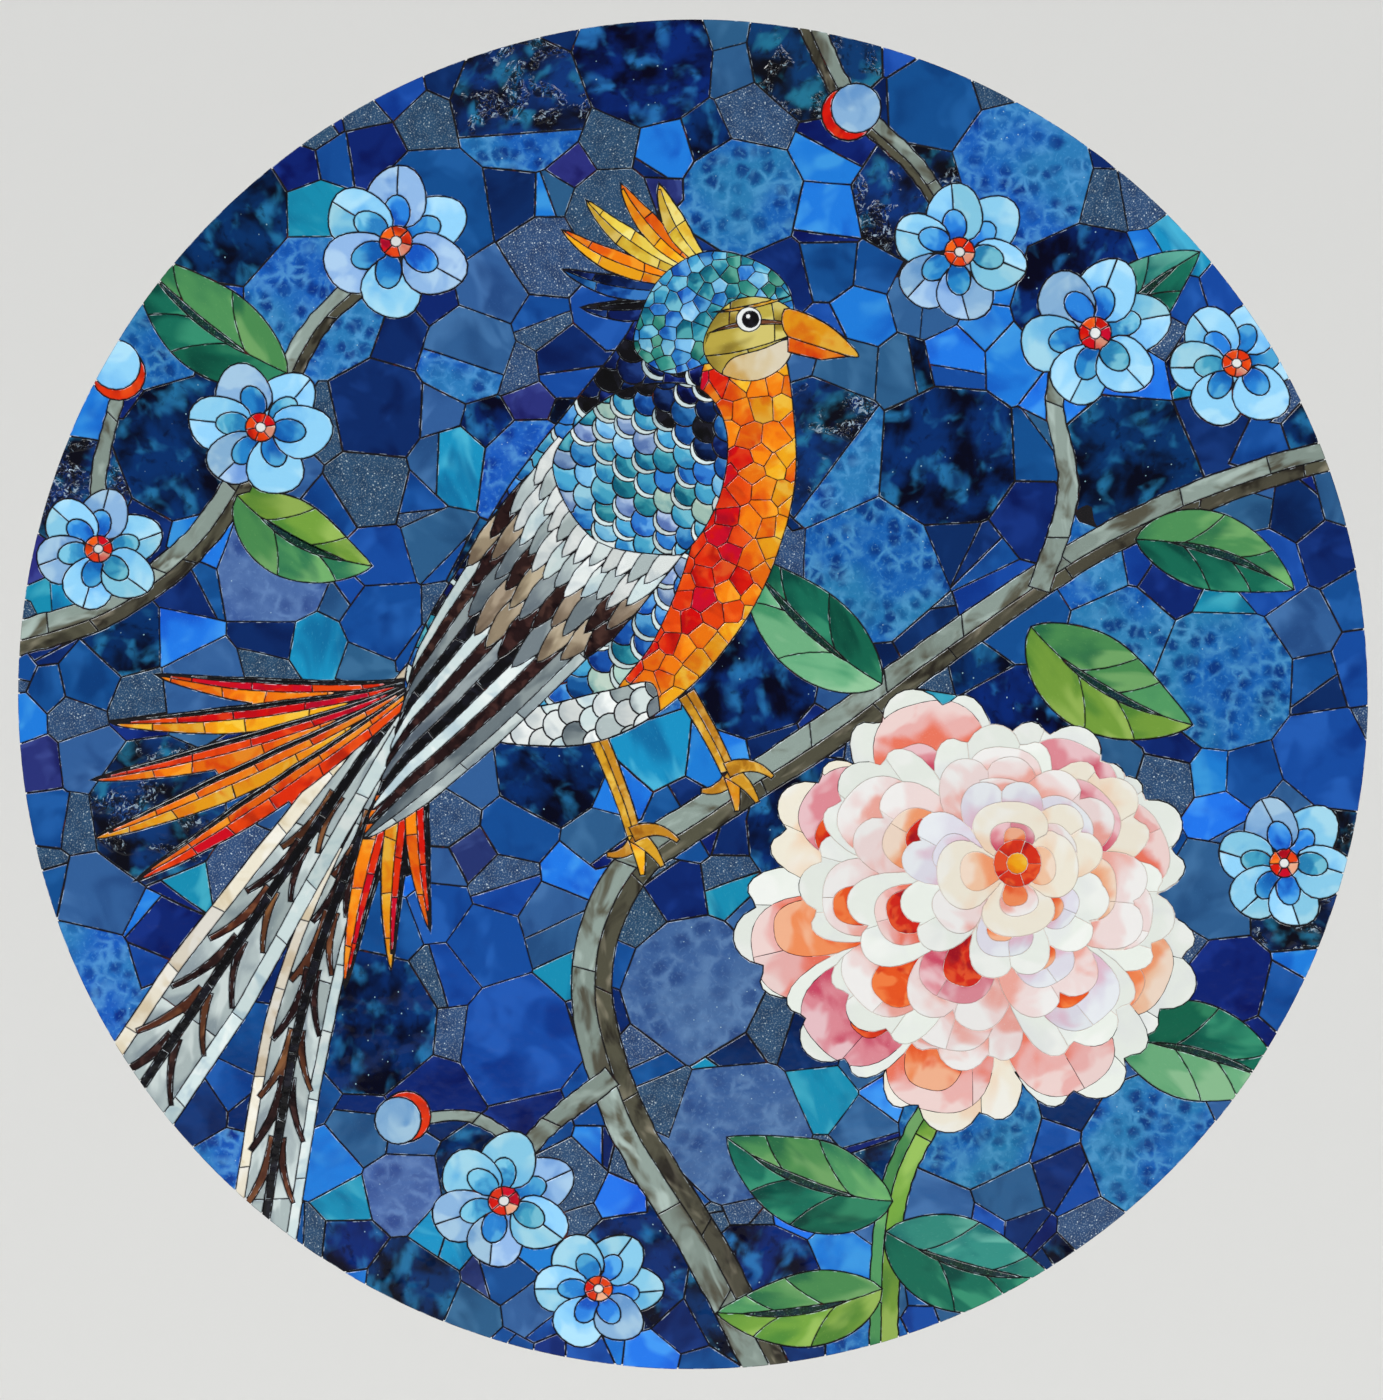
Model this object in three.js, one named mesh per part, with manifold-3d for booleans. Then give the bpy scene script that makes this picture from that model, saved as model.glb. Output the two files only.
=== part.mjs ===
// A round wall panel of hand-cut glass mosaic: a cement backing board, an adhesive bed, and flat glass
// pieces laid into it as a blue ground with a crested bird, branches, leaves and flowers.
//
// Millimetres. The origin is the middle of the back face, which lies against the wall. X runs to the
// right, Z up, and the glass faces -Y. Every outline is drawn in the plane of the panel as (x, y), where
// y is the height, and given its thickness by an extrusion that starts at the wall.
import * as THREE from "three";
import { mergeVertices } from "three/addons/utils/BufferGeometryUtils.js";
import Module from "manifold-3d";

const wasm = await Module();
wasm.setup();

// Driving dimensions.
const PANEL_RADIUS = 400;
const PANEL_SIDES = 60;
const BOARD_THICKNESS = 12;
const BED_THICKNESS = 2;
const GLASS_THICKNESS = 4;
const PIECE_GAP = 0.3; // between two pieces of glass, and under each of them
const GROOVE_WIDTH = 1.1; // the joint between two tiles of one piece
const GROOVE_DEPTH = 0.8;
const SMALLEST_PIECE = 1600; // cubic millimetres; smaller offcuts are left out

const BED_BACK = BOARD_THICKNESS + PIECE_GAP;
const GLASS_BACK = BOARD_THICKNESS + BED_THICKNESS + PIECE_GAP;
const GLASS_FRONT = BOARD_THICKNESS + BED_THICKNESS + GLASS_THICKNESS;

const COLOURS = {
  board: 0x9a968e,
  bed: 0x1b1a1c,
  ground: 0x1d4a94,
  bark: 0x8f9a92,
  leaf: 0x3f9a62,
  blossom: 0x86c8f0,
  bud: 0xdc4a40,
  flower: 0xf2e6e0,
  back: 0x3a8ac0,
  breast: 0xf06a22,
  belly: 0xd4dcdc,
  covert: 0xb4a898,
  flight: 0x6c747c,
  head: 0x4aa0b8,
  face: 0xb8a050,
  beak: 0xf0a428,
  crest: 0xeab838,
  leg: 0xd89a34,
  plume: 0xe0561e,
  tail: 0xc4d0cc,
};

// ---- Outlines in the plane of the panel ----

const at = (x, y) => new THREE.Vector2(x, y);

const polar = (centre, radius, angle, squash = 1) =>
  at(centre.x + radius * Math.cos(angle), centre.y + squash * radius * Math.sin(angle));

const degrees = THREE.MathUtils.degToRad;

function smooth(points, closed, perSpan) {
  const nodes = points.map(([x, y]) => new THREE.Vector3(x, y, 0));
  const curve = new THREE.CatmullRomCurve3(nodes, closed, "catmullrom", 0.5);
  const spans = closed ? nodes.length : nodes.length - 1;
  const line = curve.getPoints(spans * perSpan).map((p) => at(p.x, p.y));
  return closed ? line.slice(0, -1) : line;
}

// A bowed line from a to b; bend is the control point's offset to the left, as a share of the length.
function bow(a, b, bend, steps) {
  const control = at((a.x + b.x) / 2 - (b.y - a.y) * bend, (a.y + b.y) / 2 + (b.x - a.x) * bend);
  return new THREE.QuadraticBezierCurve(a, control, b).getPoints(steps);
}

function leftOf(line, i) {
  const ahead = line[Math.min(line.length - 1, i + 1)];
  const behind = line[Math.max(0, i - 1)];
  const along = ahead.clone().sub(behind).normalize();
  return at(-along.y, along.x);
}

// The line moved to its left by offset(t), where t runs from 0 to 1 along it.
const shifted = (line, offset) =>
  line.map((p, i) => p.clone().addScaledVector(leftOf(line, i), offset(i / (line.length - 1))));

const strip = (line, left, right) =>
  [...shifted(line, left), ...shifted(line, (t) => -right(t)).reverse()];

function withoutRepeats(outline) {
  const apart = 0.5;
  const kept = outline.filter((p, i) => i === 0 || p.distanceTo(outline[i - 1]) > apart);
  if (kept[0].distanceTo(kept[kept.length - 1]) < apart) kept.pop();
  return kept;
}

const blade = (line, half) => withoutRepeats(strip(line, half, half));

function oval(centre, radius, sides, squash = 1, turn = 0) {
  const corner = (_, k) => polar(centre, radius, turn + (2 * Math.PI * k) / sides, squash);
  return Array.from({ length: sides }, corner);
}

// The outline grown outwards by a small distance.
function grown(outline, distance) {
  const sharpest = 2.2;
  const loop = THREE.ShapeUtils.isClockWise(outline) ? [...outline].reverse() : outline;
  return loop.map((p, i) => {
    const before = p.clone().sub(loop[(i + loop.length - 1) % loop.length]).normalize();
    const after = loop[(i + 1) % loop.length].clone().sub(p).normalize();
    const out = at(before.y + after.y, -before.x - after.x).normalize();
    const reach = Math.min(sharpest, 1 / Math.max(0.1, out.x * before.y - out.y * before.x));
    return p.clone().addScaledVector(out, distance * reach);
  });
}

// ---- Solids ----

function toSolid(geometry) {
  geometry.deleteAttribute("normal");
  geometry.deleteAttribute("uv");
  const merged = mergeVertices(geometry, 1e-4);
  return new wasm.Manifold(new wasm.Mesh({
    numProp: 3,
    vertProperties: merged.getAttribute("position").array,
    triVerts: new Uint32Array(merged.index.array),
  }));
}

function toGeometry(solid) {
  const mesh = solid.getMesh();
  const geometry = new THREE.BufferGeometry();
  geometry.setAttribute("position", new THREE.BufferAttribute(mesh.vertProperties, 3));
  geometry.setIndex(new THREE.BufferAttribute(mesh.triVerts, 1));
  geometry.computeVertexNormals();
  return geometry;
}

function prism(outline, back, front) {
  const geometry = new THREE.ExtrudeGeometry(new THREE.Shape(outline), {
    depth: front - back,
    bevelEnabled: false,
  });
  return toSolid(geometry.translate(0, 0, back));
}

const joined = (solids) => solids.reduce((all, solid) => all.add(solid));

// A piece of glass drawn as tiles in painter's order: each later tile covers the earlier ones, and a
// shallow groove in the glass around it shows the joint, unless the tiles are fused.
function glassPiece({ tiles, grooves = [], fused = false }) {
  const cutBack = GLASS_FRONT - GROOVE_DEPTH;
  const cutFront = GLASS_FRONT + 1;
  let body = joined(tiles.map((tile) => prism(tile, GLASS_BACK, GLASS_FRONT)));
  tiles.forEach((tile, i) => {
    if (fused || i === 0) return;
    const covers = tiles.slice(i).map((cover) => prism(cover, cutBack - 1, cutFront + 1));
    body = body.subtract(prism(grown(tile, GROOVE_WIDTH), cutBack, cutFront).subtract(joined(covers)));
  });
  for (const groove of grooves) body = body.subtract(prism(groove, cutBack, cutFront));
  return body;
}

const footprint = (tiles) =>
  joined(tiles.map((tile) => prism(grown(tile, PIECE_GAP), GLASS_BACK - 1, GLASS_FRONT + 1)));

const scored = (a, b) => strip([a, b], () => GROOVE_WIDTH / 2, () => GROOVE_WIDTH / 2);

// ---- The blue ground: weighted Voronoi cells of darts thrown at the panel, large ones first ----

function darts() {
  const rounds = [
    { radius: 52, throws: 60 },
    { radius: 40, throws: 90 },
  ];
  const closeness = 0.9;
  const reach = PANEL_RADIUS + 10;
  let state = 77;
  const random = () => {
    state = (Math.imul(state, 1664525) + 1013904223) >>> 0;
    return (2 * state / 2 ** 32 - 1) * reach;
  };
  const seeds = [];
  for (const { radius, throws } of rounds) {
    for (let k = 0; k < throws; k++) {
      const centre = at(random(), random());
      const free = seeds.every((s) => s.centre.distanceTo(centre) > closeness * (s.radius + radius));
      if (centre.length() < PANEL_RADIUS + 8 && free) seeds.push({ centre, radius });
    }
  }
  return seeds;
}

function groundGrooves() {
  const seeds = darts();
  const reach = 200;
  const shortest = 36;
  const grooves = [];
  seeds.forEach((seed, i) => {
    let cell = oval(seed.centre, reach, 4).map((point) => ({ point, owner: -1 }));
    seeds.forEach((other, j) => {
      if (i === j || cell.length < 3) return;
      const toward = other.centre.clone().sub(seed.centre);
      const power = ({ centre, radius }) => centre.lengthSq() - radius ** 2;
      const limit = (power(other) - power(seed)) / 2;
      const depth = cell.map(({ point }) => point.dot(toward) - limit);
      const kept = [];
      cell.forEach((corner, k) => {
        const next = (k + 1) % cell.length;
        const crosses = depth[k] < 0 !== depth[next] < 0;
        const cut = () => corner.point.clone().lerp(cell[next].point, depth[k] / (depth[k] - depth[next]));
        if (depth[k] < 0) kept.push(corner);
        if (crosses) kept.push({ point: cut(), owner: depth[k] < 0 ? j : corner.owner });
      });
      cell = kept;
    });
    cell.forEach(({ point, owner }, k) => {
      const next = cell[(k + 1) % cell.length].point;
      if (owner > i && point.distanceTo(next) > shortest) grooves.push(scored(point, next));
    });
  });
  return grooves;
}

// ---- Motifs. Each function returns the tiles of one piece, in painter's order ----

const whole = () => oval(at(0, 0), PANEL_RADIUS, PANEL_SIDES);

function limb({ points, widths: [start, end] }) {
  return blade(smooth(points, false, 2), (t) => (start + (end - start) * t) / 2);
}

function leaf(base, tip, width, bend) {
  const line = bow(at(...base), at(...tip), bend, 5);
  const half = (t) => (width / 2) * Math.sin(Math.PI * Math.min(1, t) ** 0.82) ** 0.8 || 0;
  const side = withoutRepeats(strip(line, half, () => 0));
  return [blade(line, half), side];
}

// A closed line with one rounded lobe for each petal, and a notch between them.
function lobed({ centre, radius, petals, turn, notch, squash = 1 }) {
  const perPetal = 3;
  return Array.from({ length: perPetal * petals }, (_, k) => {
    const angle = turn + ((k / perPetal - 0.5) * 2 * Math.PI) / petals;
    return polar(centre, radius * (k % perPetal ? 1 : notch), angle, squash);
  });
}

function notches({ centre, radius, petals, turn, notch, squash = 1 }, inner) {
  return Array.from({ length: petals }, (_, k) => {
    const angle = turn + ((k - 0.5) * 2 * Math.PI) / petals;
    return scored(polar(centre, inner, angle, squash), polar(centre, radius * notch + 1, angle, squash));
  });
}

function blossom(centre, radius, turn) {
  const ring = { centre, radius, petals: 6, turn, notch: 0.8 };
  return { tiles: [lobed(ring)], grooves: notches(ring, 0.22 * radius) };
}

// Rings of petals, each ring laid over the last and set a little up and to the right.
function largeFlower(centre, radius) {
  const rings = [
    { petals: 9, reach: 0.97 },
    { petals: 8, reach: 0.77 },
    { petals: 6, reach: 0.57 },
    { petals: 4, reach: 0.37 },
  ].map(({ petals, reach }, level) => ({
    centre: at(centre.x + 5 * level, centre.y + 6 * level),
    radius: reach * radius,
    petals,
    turn: 0.4 + 1.1 * level,
    notch: 0.9,
    squash: 0.93,
  }));
  const inner = (level) => (rings[level + 1] ? rings[level + 1].radius * 0.97 : radius * 0.1);
  return {
    tiles: rings.map(lobed),
    grooves: rings.flatMap((ring, level) => notches(ring, inner(level))),
  };
}

function tailFeather(points, width) {
  const line = smooth(points, false, 2);
  const half = (t) => (width / 2) * Math.min(1, 0.35 + 1.1 * t);
  const edge = width * 0.15;
  const inside = (t) => half(t) - edge;
  const shaft = 2.6;
  return [
    strip(line, half, half),
    strip(line, inside, inside),
    strip(line, () => shaft, () => shaft),
  ];
}

function plume(base, tip, bend, width) {
  const line = bow(base, tip, bend, 3);
  return blade(line, (t) => (width / 2) * Math.min(1, 0.45 + 1.3 * t) * Math.min(1, (1 - t) * 2.6) ** 0.62);
}

function tailPlumes() {
  const root = at(-158, 6);
  const plumes = [
    { heading: 178, length: 150, bend: 0.1, width: 15 },
    { heading: 187, length: 178, bend: 0.08, width: 16 },
    { heading: 196, length: 196, bend: 0.07, width: 16 },
    { heading: 205, length: 206, bend: 0.05, width: 17 },
    { heading: 214, length: 198, bend: 0.04, width: 16 },
    { heading: 255, length: 176, bend: -0.06, width: 15 },
    { heading: 263, length: 160, bend: -0.08, width: 15 },
    { heading: 271, length: 136, bend: -0.1, width: 14 },
  ];
  return plumes.map(({ heading, length, bend, width }) => {
    const base = polar(root, 10, degrees(heading));
    return plume(base, polar(base, length, degrees(heading)), bend, width);
  });
}

function crest() {
  const plumes = [
    { heading: 186, length: 66 },
    { heading: 172, length: 78 },
    { heading: 159, length: 84 },
    { heading: 146, length: 80 },
    { heading: 133, length: 70 },
    { heading: 120, length: 56 },
  ];
  return plumes.map(({ heading, length }) => {
    const base = at(16 + 16 * Math.cos(degrees(heading)), 238 + 18 * Math.sin(degrees(heading)));
    return plume(base, polar(base, length, degrees(heading)), 0.14, 13);
  });
}

function leg(hip, ankle) {
  const toes = [[-17, -9, 0.4], [4, -21, 0.05], [16, -16, 0.15], [25, -1, 0.35]];
  return [
    blade(bow(hip, ankle, 0.04, 2), (t) => 5.4 - 1.2 * t),
    ...toes.map(([x, y, bend]) => {
      const line = bow(at(ankle.x - 0.08 * x, ankle.y + 3), at(ankle.x + x, ankle.y + y), bend, 2);
      return blade(line, (t) => 4.6 * (1 - 0.72 * t ** 1.4));
    }),
  ];
}

const bodyLine = () => smooth([
  [50, 214], [60, 160], [58, 112], [38, 56], [0, 6], [-50, -26], [-100, -30], [-142, -20],
  [-170, 2], [-160, 38], [-134, 82], [-104, 130], [-68, 176], [-40, 212], [-20, 246], [20, 256],
], true, 2);

const breastLine = () => smooth([
  [30, 226], [70, 210], [80, 110], [60, 40], [10, -16], [-34, -40], [-50, -8], [-22, 34],
  [-2, 84], [6, 130], [4, 168], [8, 200],
], true, 2);

const bellyLine = () => smooth([
  [-22, 4], [-52, 2], [-100, -8], [-150, -2], [-176, -30], [-100, -52], [-30, -48],
], true, 2);

// The wing's own coordinates: s runs from the shoulder to the tip, and w across it.
function onWing(s, w) {
  const run = at(-0.635, -0.772);
  return at(-4 + s * run.x - w * run.y, 166 + s * run.y + w * run.x);
}

function flightFeathers() {
  const count = 11;
  const shaft = (q) => {
    const root = onWing(104 + 22 * Math.sin(Math.PI * q), -40 + 82 * q);
    return bow(root, onWing(232 + 84 * q, -22 + 34 * q), -0.05 + 0.1 * q, 3);
  };
  const half = (t) => 6.9 * Math.min(1, 0.8 + t) * Math.min(1, (1 - t) * 5) ** 0.55;
  const places = [...Array(count).keys()].map((i) => i / (count - 1));
  const groove = () => GROOVE_WIDTH / 2;
  return {
    tiles: places.map((q) => blade(shaft(q), half)),
    grooves: places.slice(1).map((q) => strip(shaft(q - 0.5 / (count - 1)).slice(0, 3), groove, groove)),
    fused: true,
  };
}

// A row of coverts as one band with a scalloped lower edge.
function covertRow({ start, sag, length }) {
  const feathers = 5;
  const [from, to] = [-46, 48];
  const top = [];
  const edge = [];
  for (let k = 0; k <= 2 * feathers; k++) {
    const q = k / (2 * feathers);
    const s = start + sag * Math.sin(Math.PI * q);
    const w = from + (to - from) * q;
    if (k % 4 === 0) top.push(onWing(s, 1.06 * w));
    edge.push(onWing(s + length * (k % 2 ? 1 : 0.72), w));
  }
  return [...top, ...edge.reverse()];
}

const coverts = () => [
  { start: 106, sag: 30, length: 46 },
  { start: 88, sag: 26, length: 42 },
  { start: 72, sag: 22, length: 38 },
  { start: 58, sag: 18, length: 34 },
].map(covertRow);

const shoulder = () => [smooth([
  [-16, -6], [-8, 24], [24, 46], [58, 52], [72, 44], [92, 4], [76, -40], [44, -46], [10, -36],
].map(([s, w]) => onWing(s, w).toArray()), true, 2)];

const headLine = () => smooth([
  [60, 222], [54, 244], [34, 258], [8, 262], [-16, 250], [-30, 228], [-34, 204], [-14, 190],
  [10, 196], [34, 196], [54, 204],
], true, 1);

const faceLine = () => smooth([
  [60, 224], [46, 234], [26, 234], [12, 222], [6, 204], [16, 190], [38, 186], [56, 198],
], true, 1);

const chinLine = () => smooth([[58, 210], [40, 204], [22, 198], [18, 186], [38, 182], [58, 192]], true, 1);

const eye = () => oval(at(33, 222), 7.4, 10);

const beak = () => [
  [[54, 228], [70, 224], [86, 214], [98, 200], [80, 200], [56, 203]].map(([x, y]) => at(x, y)),
];

// ---- The pieces, from the lowest in painter's order to the topmost ----

const BRANCHES = {
  branch_main: [
    { widths: [27, 17], points: [[52, -415], [8, -330], [-40, -250], [-60, -172], [-40, -108], [14, -66],
      [84, -20], [160, 36], [246, 92], [330, 128], [412, 150]] },
    { widths: [13, 9], points: [[205, 62], [222, 120], [214, 176], [226, 232]] },
    { widths: [13, 9], points: [[-48, -226], [-92, -262], [-120, -310]] },
    { widths: [8, 6], points: [[-100, -268], [-132, -250], [-165, -252]] },
  ],
  branch_left: [
    { widths: [21, 12], points: [[-410, 30], [-344, 52], [-292, 92], [-256, 150], [-226, 214],
      [-176, 262]] },
    { widths: [10, 8], points: [[-330, 60], [-352, 118], [-340, 180]] },
  ],
  branch_top: [{ widths: [15, 10], points: [[66, 404], [92, 352], [132, 312], [160, 268]] }],
  flower_stem: [{ widths: [17, 17], points: [[150, -230], [118, -300], [112, -410]] }],
};

const LEAVES = [
  { base: [112, 6], tip: [30, 84], width: 50, bend: 0.12 },
  { base: [200, 40], tip: [296, -18], width: 56, bend: -0.16 },
  { base: [262, 92], tip: [356, 62], width: 46, bend: 0.14 },
  { base: [118, -300], tip: [20, -262], width: 54, bend: 0.16 },
  { base: [114, -318], tip: [214, -346], width: 56, bend: -0.14 },
  { base: [112, -352], tip: [14, -366], width: 44, bend: 0.12 },
  { base: [250, -205], tip: [352, -235], width: 58, bend: 0.14 },
  { base: [-270, 118], tip: [-190, 76], width: 46, bend: -0.18 },
  { base: [-240, 190], tip: [-330, 262], width: 52, bend: 0.14 },
  { base: [230, 190], tip: [300, 262], width: 44, bend: 0.14 },
];

const BLOSSOMS = [
  { centre: [238, 214], radius: 44, turn: 0.2 },
  { centre: [158, 262], radius: 41, turn: 0.7 },
  { centre: [322, 196], radius: 40, turn: 0.1 },
  { centre: [-176, 268], radius: 45, turn: 0.5 },
  { centre: [-256, 158], radius: 42, turn: 0.9 },
  { centre: [-352, 86], radius: 38, turn: 0.3 },
  { centre: [-112, -300], radius: 43, turn: 0.4 },
  { centre: [-56, -352], radius: 38, turn: 0.0 },
  { centre: [350, -100], radius: 40, turn: 0.8 },
];

const BUDS = [
  { centre: [92, 344], radius: 18 },
  { centre: [-340, 190], radius: 18 },
  { centre: [-170, -250], radius: 17 },
];

const pieces = [
  { name: "ground", colour: COLOURS.ground, tiles: [whole()], grooves: groundGrooves() },
  ...Object.entries(BRANCHES).map(([name, limbs]) => (
    { name, colour: COLOURS.bark, tiles: limbs.map(limb), fused: true })),
  ...LEAVES.map(({ base, tip, width, bend }, i) => (
    { name: `leaf_${i + 1}`, colour: COLOURS.leaf, tiles: leaf(base, tip, width, bend) })),
  ...BLOSSOMS.map(({ centre, radius, turn }, i) => (
    { name: `blossom_${i + 1}`, colour: COLOURS.blossom, ...blossom(at(...centre), radius, turn) })),
  ...BUDS.map(({ centre, radius }, i) => (
    { name: `bud_${i + 1}`, colour: COLOURS.bud, tiles: [oval(at(...centre), radius, 10)] })),
  { name: "tail_feather_2", colour: COLOURS.tail,
    tiles: tailFeather([[-150, 6], [-196, -84], [-232, -190], [-258, -340]], 40) },
  { name: "tail_feather_1", colour: COLOURS.tail,
    tiles: tailFeather([[-158, 16], [-222, -76], [-286, -172], [-372, -300]], 56) },
  { name: "tail_plumes", colour: COLOURS.plume, tiles: tailPlumes(), fused: true },
  { name: "leg_far", colour: COLOURS.leg, tiles: leg(at(-4, 0), at(22, -48)), fused: true },
  { name: "leg_near", colour: COLOURS.leg, tiles: leg(at(-58, -22), at(-34, -86)), fused: true },
  { name: "bird_back", colour: COLOURS.back, tiles: [bodyLine()] },
  { name: "bird_breast", colour: COLOURS.breast, tiles: [breastLine()], inside: bodyLine() },
  { name: "bird_belly", colour: COLOURS.belly, tiles: [bellyLine()], inside: bodyLine() },
  { name: "wing_flight_feathers", colour: COLOURS.flight, ...flightFeathers() },
  { name: "wing_coverts", colour: COLOURS.covert, tiles: coverts() },
  { name: "wing_shoulder", colour: COLOURS.back, tiles: shoulder() },
  { name: "bird_crest", colour: COLOURS.crest, tiles: crest(), fused: true },
  { name: "bird_head", colour: COLOURS.head, tiles: [headLine()] },
  { name: "bird_face", colour: COLOURS.face, tiles: [faceLine(), chinLine(), eye()] },
  { name: "bird_beak", colour: COLOURS.beak, tiles: beak() },
  { name: "flower", colour: COLOURS.flower, ...largeFlower(at(168, -128), 142) },
];

const panel = new THREE.Group();

function addNode(name, colour, solid, roughness) {
  const material = new THREE.MeshStandardMaterial({ color: colour, roughness, metalness: 0 });
  const mesh = new THREE.Mesh(toGeometry(solid), material);
  mesh.name = name;
  mesh.rotation.x = Math.PI / 2;
  panel.add(mesh);
}

const CEMENT_ROUGHNESS = 0.9;
const GLASS_ROUGHNESS = 0.2;
const board = prism(whole(), 0, BOARD_THICKNESS);
const bed = prism(whole(), BED_BACK, BOARD_THICKNESS + BED_THICKNESS);
addNode("backing_board", COLOURS.board, board, CEMENT_ROUGHNESS);
addNode("setting_bed", COLOURS.bed, bed, CEMENT_ROUGHNESS);

// From the topmost piece down, each piece loses what lies under the ones above it.
const inFront = GLASS_FRONT + 5;
const disc = prism(whole(), 0, inFront);
let covered = null;
const cut = [];
for (const piece of [...pieces].reverse()) {
  let body = glassPiece(piece);
  let shade = footprint(piece.tiles);
  if (piece.inside) {
    body = body.intersect(prism(piece.inside, 0, inFront));
    shade = shade.intersect(prism(grown(piece.inside, PIECE_GAP), 0, inFront));
  }
  if (covered) body = body.intersect(disc).subtract(covered);
  covered = covered ? covered.add(shade) : shade;
  cut.unshift({ ...piece, body });
}

for (const { name, colour, body } of cut) {
  const parts = body.decompose().filter((part) => part.volume() > SMALLEST_PIECE);
  parts.sort((a, b) => b.volume() - a.volume());
  parts.forEach((part, i) => {
    addNode(parts.length > 1 ? `${name}_part_${i + 1}` : name, colour, part, GLASS_ROUGHNESS);
  });
}

export default panel;
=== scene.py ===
"""A round wall panel of hand-cut glass mosaic: every tile is its own bit of glass over dark grout."""
import math

import bpy
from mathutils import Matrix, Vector, noise
from mathutils.geometry import delaunay_2d_cdt


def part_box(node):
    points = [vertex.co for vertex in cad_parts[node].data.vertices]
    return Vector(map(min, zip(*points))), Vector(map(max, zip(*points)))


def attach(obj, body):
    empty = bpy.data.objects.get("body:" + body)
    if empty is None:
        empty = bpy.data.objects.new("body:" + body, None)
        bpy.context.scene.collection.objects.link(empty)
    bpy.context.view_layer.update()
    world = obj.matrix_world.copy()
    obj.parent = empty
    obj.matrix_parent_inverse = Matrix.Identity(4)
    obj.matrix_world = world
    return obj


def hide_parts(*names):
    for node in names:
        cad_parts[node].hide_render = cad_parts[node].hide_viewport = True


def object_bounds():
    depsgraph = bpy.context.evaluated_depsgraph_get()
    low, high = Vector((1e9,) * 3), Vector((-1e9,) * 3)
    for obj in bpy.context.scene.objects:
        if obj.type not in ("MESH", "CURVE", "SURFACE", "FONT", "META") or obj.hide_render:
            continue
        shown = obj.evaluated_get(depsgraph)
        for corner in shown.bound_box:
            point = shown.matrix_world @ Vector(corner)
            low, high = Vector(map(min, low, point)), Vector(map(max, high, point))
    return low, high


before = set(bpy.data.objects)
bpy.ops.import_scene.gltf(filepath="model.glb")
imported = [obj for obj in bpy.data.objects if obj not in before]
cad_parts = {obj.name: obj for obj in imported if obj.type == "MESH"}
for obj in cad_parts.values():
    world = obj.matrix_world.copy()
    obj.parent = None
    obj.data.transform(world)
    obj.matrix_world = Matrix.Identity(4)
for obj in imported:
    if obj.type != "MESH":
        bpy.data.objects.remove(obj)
cad_low, cad_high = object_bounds()

# The picture is drawn in millimetres in the plane of the panel: x to the right and y up, from its middle.
MM = 0.001
BOARD_LOW, BOARD_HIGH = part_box("backing_board")
RADIUS = (BOARD_HIGH[0] - BOARD_LOW[0]) / 2 / MM
FACE = -cad_low[1] / MM            # from the wall to the front of the glass
BOARD = (BOARD_HIGH[1] - BOARD_LOW[1]) / MM
GLASS_BACK = BOARD + 1.9           # the back of the glass, pressed into the bed
GROUT_DROP = 0.75                  # how far the grout stands back from the glass
PLAN_WELD, TILE_WELD = 1e-3, 1e-4  # points closer than this become one, in the plan and within a tile
KIN = 3                            # how much rather an offcut joins a tile of its own piece


# ---------------------------------------------------------------- numbers, points and lines

class Rng:
    """Random numbers that come out the same on every run."""

    def __init__(self, seed):
        self.state = seed

    def __call__(self, low=0.0, high=1.0):
        self.state = (self.state * 1664525 + 1013904223) % 4294967296
        return low + (high - low) * self.state / 4294967296

    def pick(self, options):
        return options[int(self() * len(options)) % len(options)]


rng = Rng(20417)
noise.seed_set(20417)    # without it, noise_vector takes its offsets from the clock


def add(p, q, k=1.0):
    return (p[0] + q[0] * k, p[1] + q[1] * k)


def unit(angle):
    return (math.cos(angle), math.sin(angle))


def lerp(p, q, t):
    return (p[0] + (q[0] - p[0]) * t, p[1] + (q[1] - p[1]) * t)


def area(loop):
    return 0.5 * sum(a[0] * b[1] - b[0] * a[1] for a, b in zip(loop, loop[1:] + loop[:1]))


def spline(points, closed=False, step=3.0):
    """A smooth line through the points, sampled about every step."""
    n = len(points)
    out = []
    for i in range(n if closed else n - 1):
        if closed:
            p0, p1, p2, p3 = (points[(i + k) % n] for k in (-1, 0, 1, 2))
        else:
            p1, p2 = points[i], points[i + 1]
            p0 = points[i - 1] if i else add(lerp(p2, p1, 2), (0, 0))
            p3 = points[i + 2] if i + 2 < n else lerp(p1, p2, 2)
        count = max(1, round(math.dist(p1, p2) / step))
        for k in range(count):
            t = k / count
            out.append(tuple(
                0.5 * (2 * b + (c - a) * t + (2 * a - 5 * b + 4 * c - d) * t * t
                       + (3 * b - a - 3 * c + d) * t ** 3)
                for a, b, c, d in zip(p0, p1, p2, p3)))
    if not closed:
        out.append(tuple(points[-1]))
    return out


def bow(a, b, bend, step=3.0, parts=None):
    """A bowed line from a to b; bend moves its control point to the left by a share of the length."""
    control = add(lerp(a, b, 0.5), (a[1] - b[1], b[0] - a[0]), bend)
    count = parts or max(4, round(math.dist(a, b) / step))
    return [lerp(lerp(a, control, k / count), lerp(control, b, k / count), k / count)
            for k in range(count + 1)]


def oval(centre, radius, sides=20, squash=1.0):
    return [(centre[0] + radius * math.cos(2 * math.pi * k / sides),
             centre[1] + squash * radius * math.sin(2 * math.pi * k / sides)) for k in range(sides)]


def normals(line):
    out = []
    for i in range(len(line)):
        a, b = line[max(0, i - 1)], line[min(len(line) - 1, i + 1)]
        length = math.dist(a, b) or 1.0
        out.append(((a[1] - b[1]) / length, (b[0] - a[0]) / length))
    return out


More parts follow.
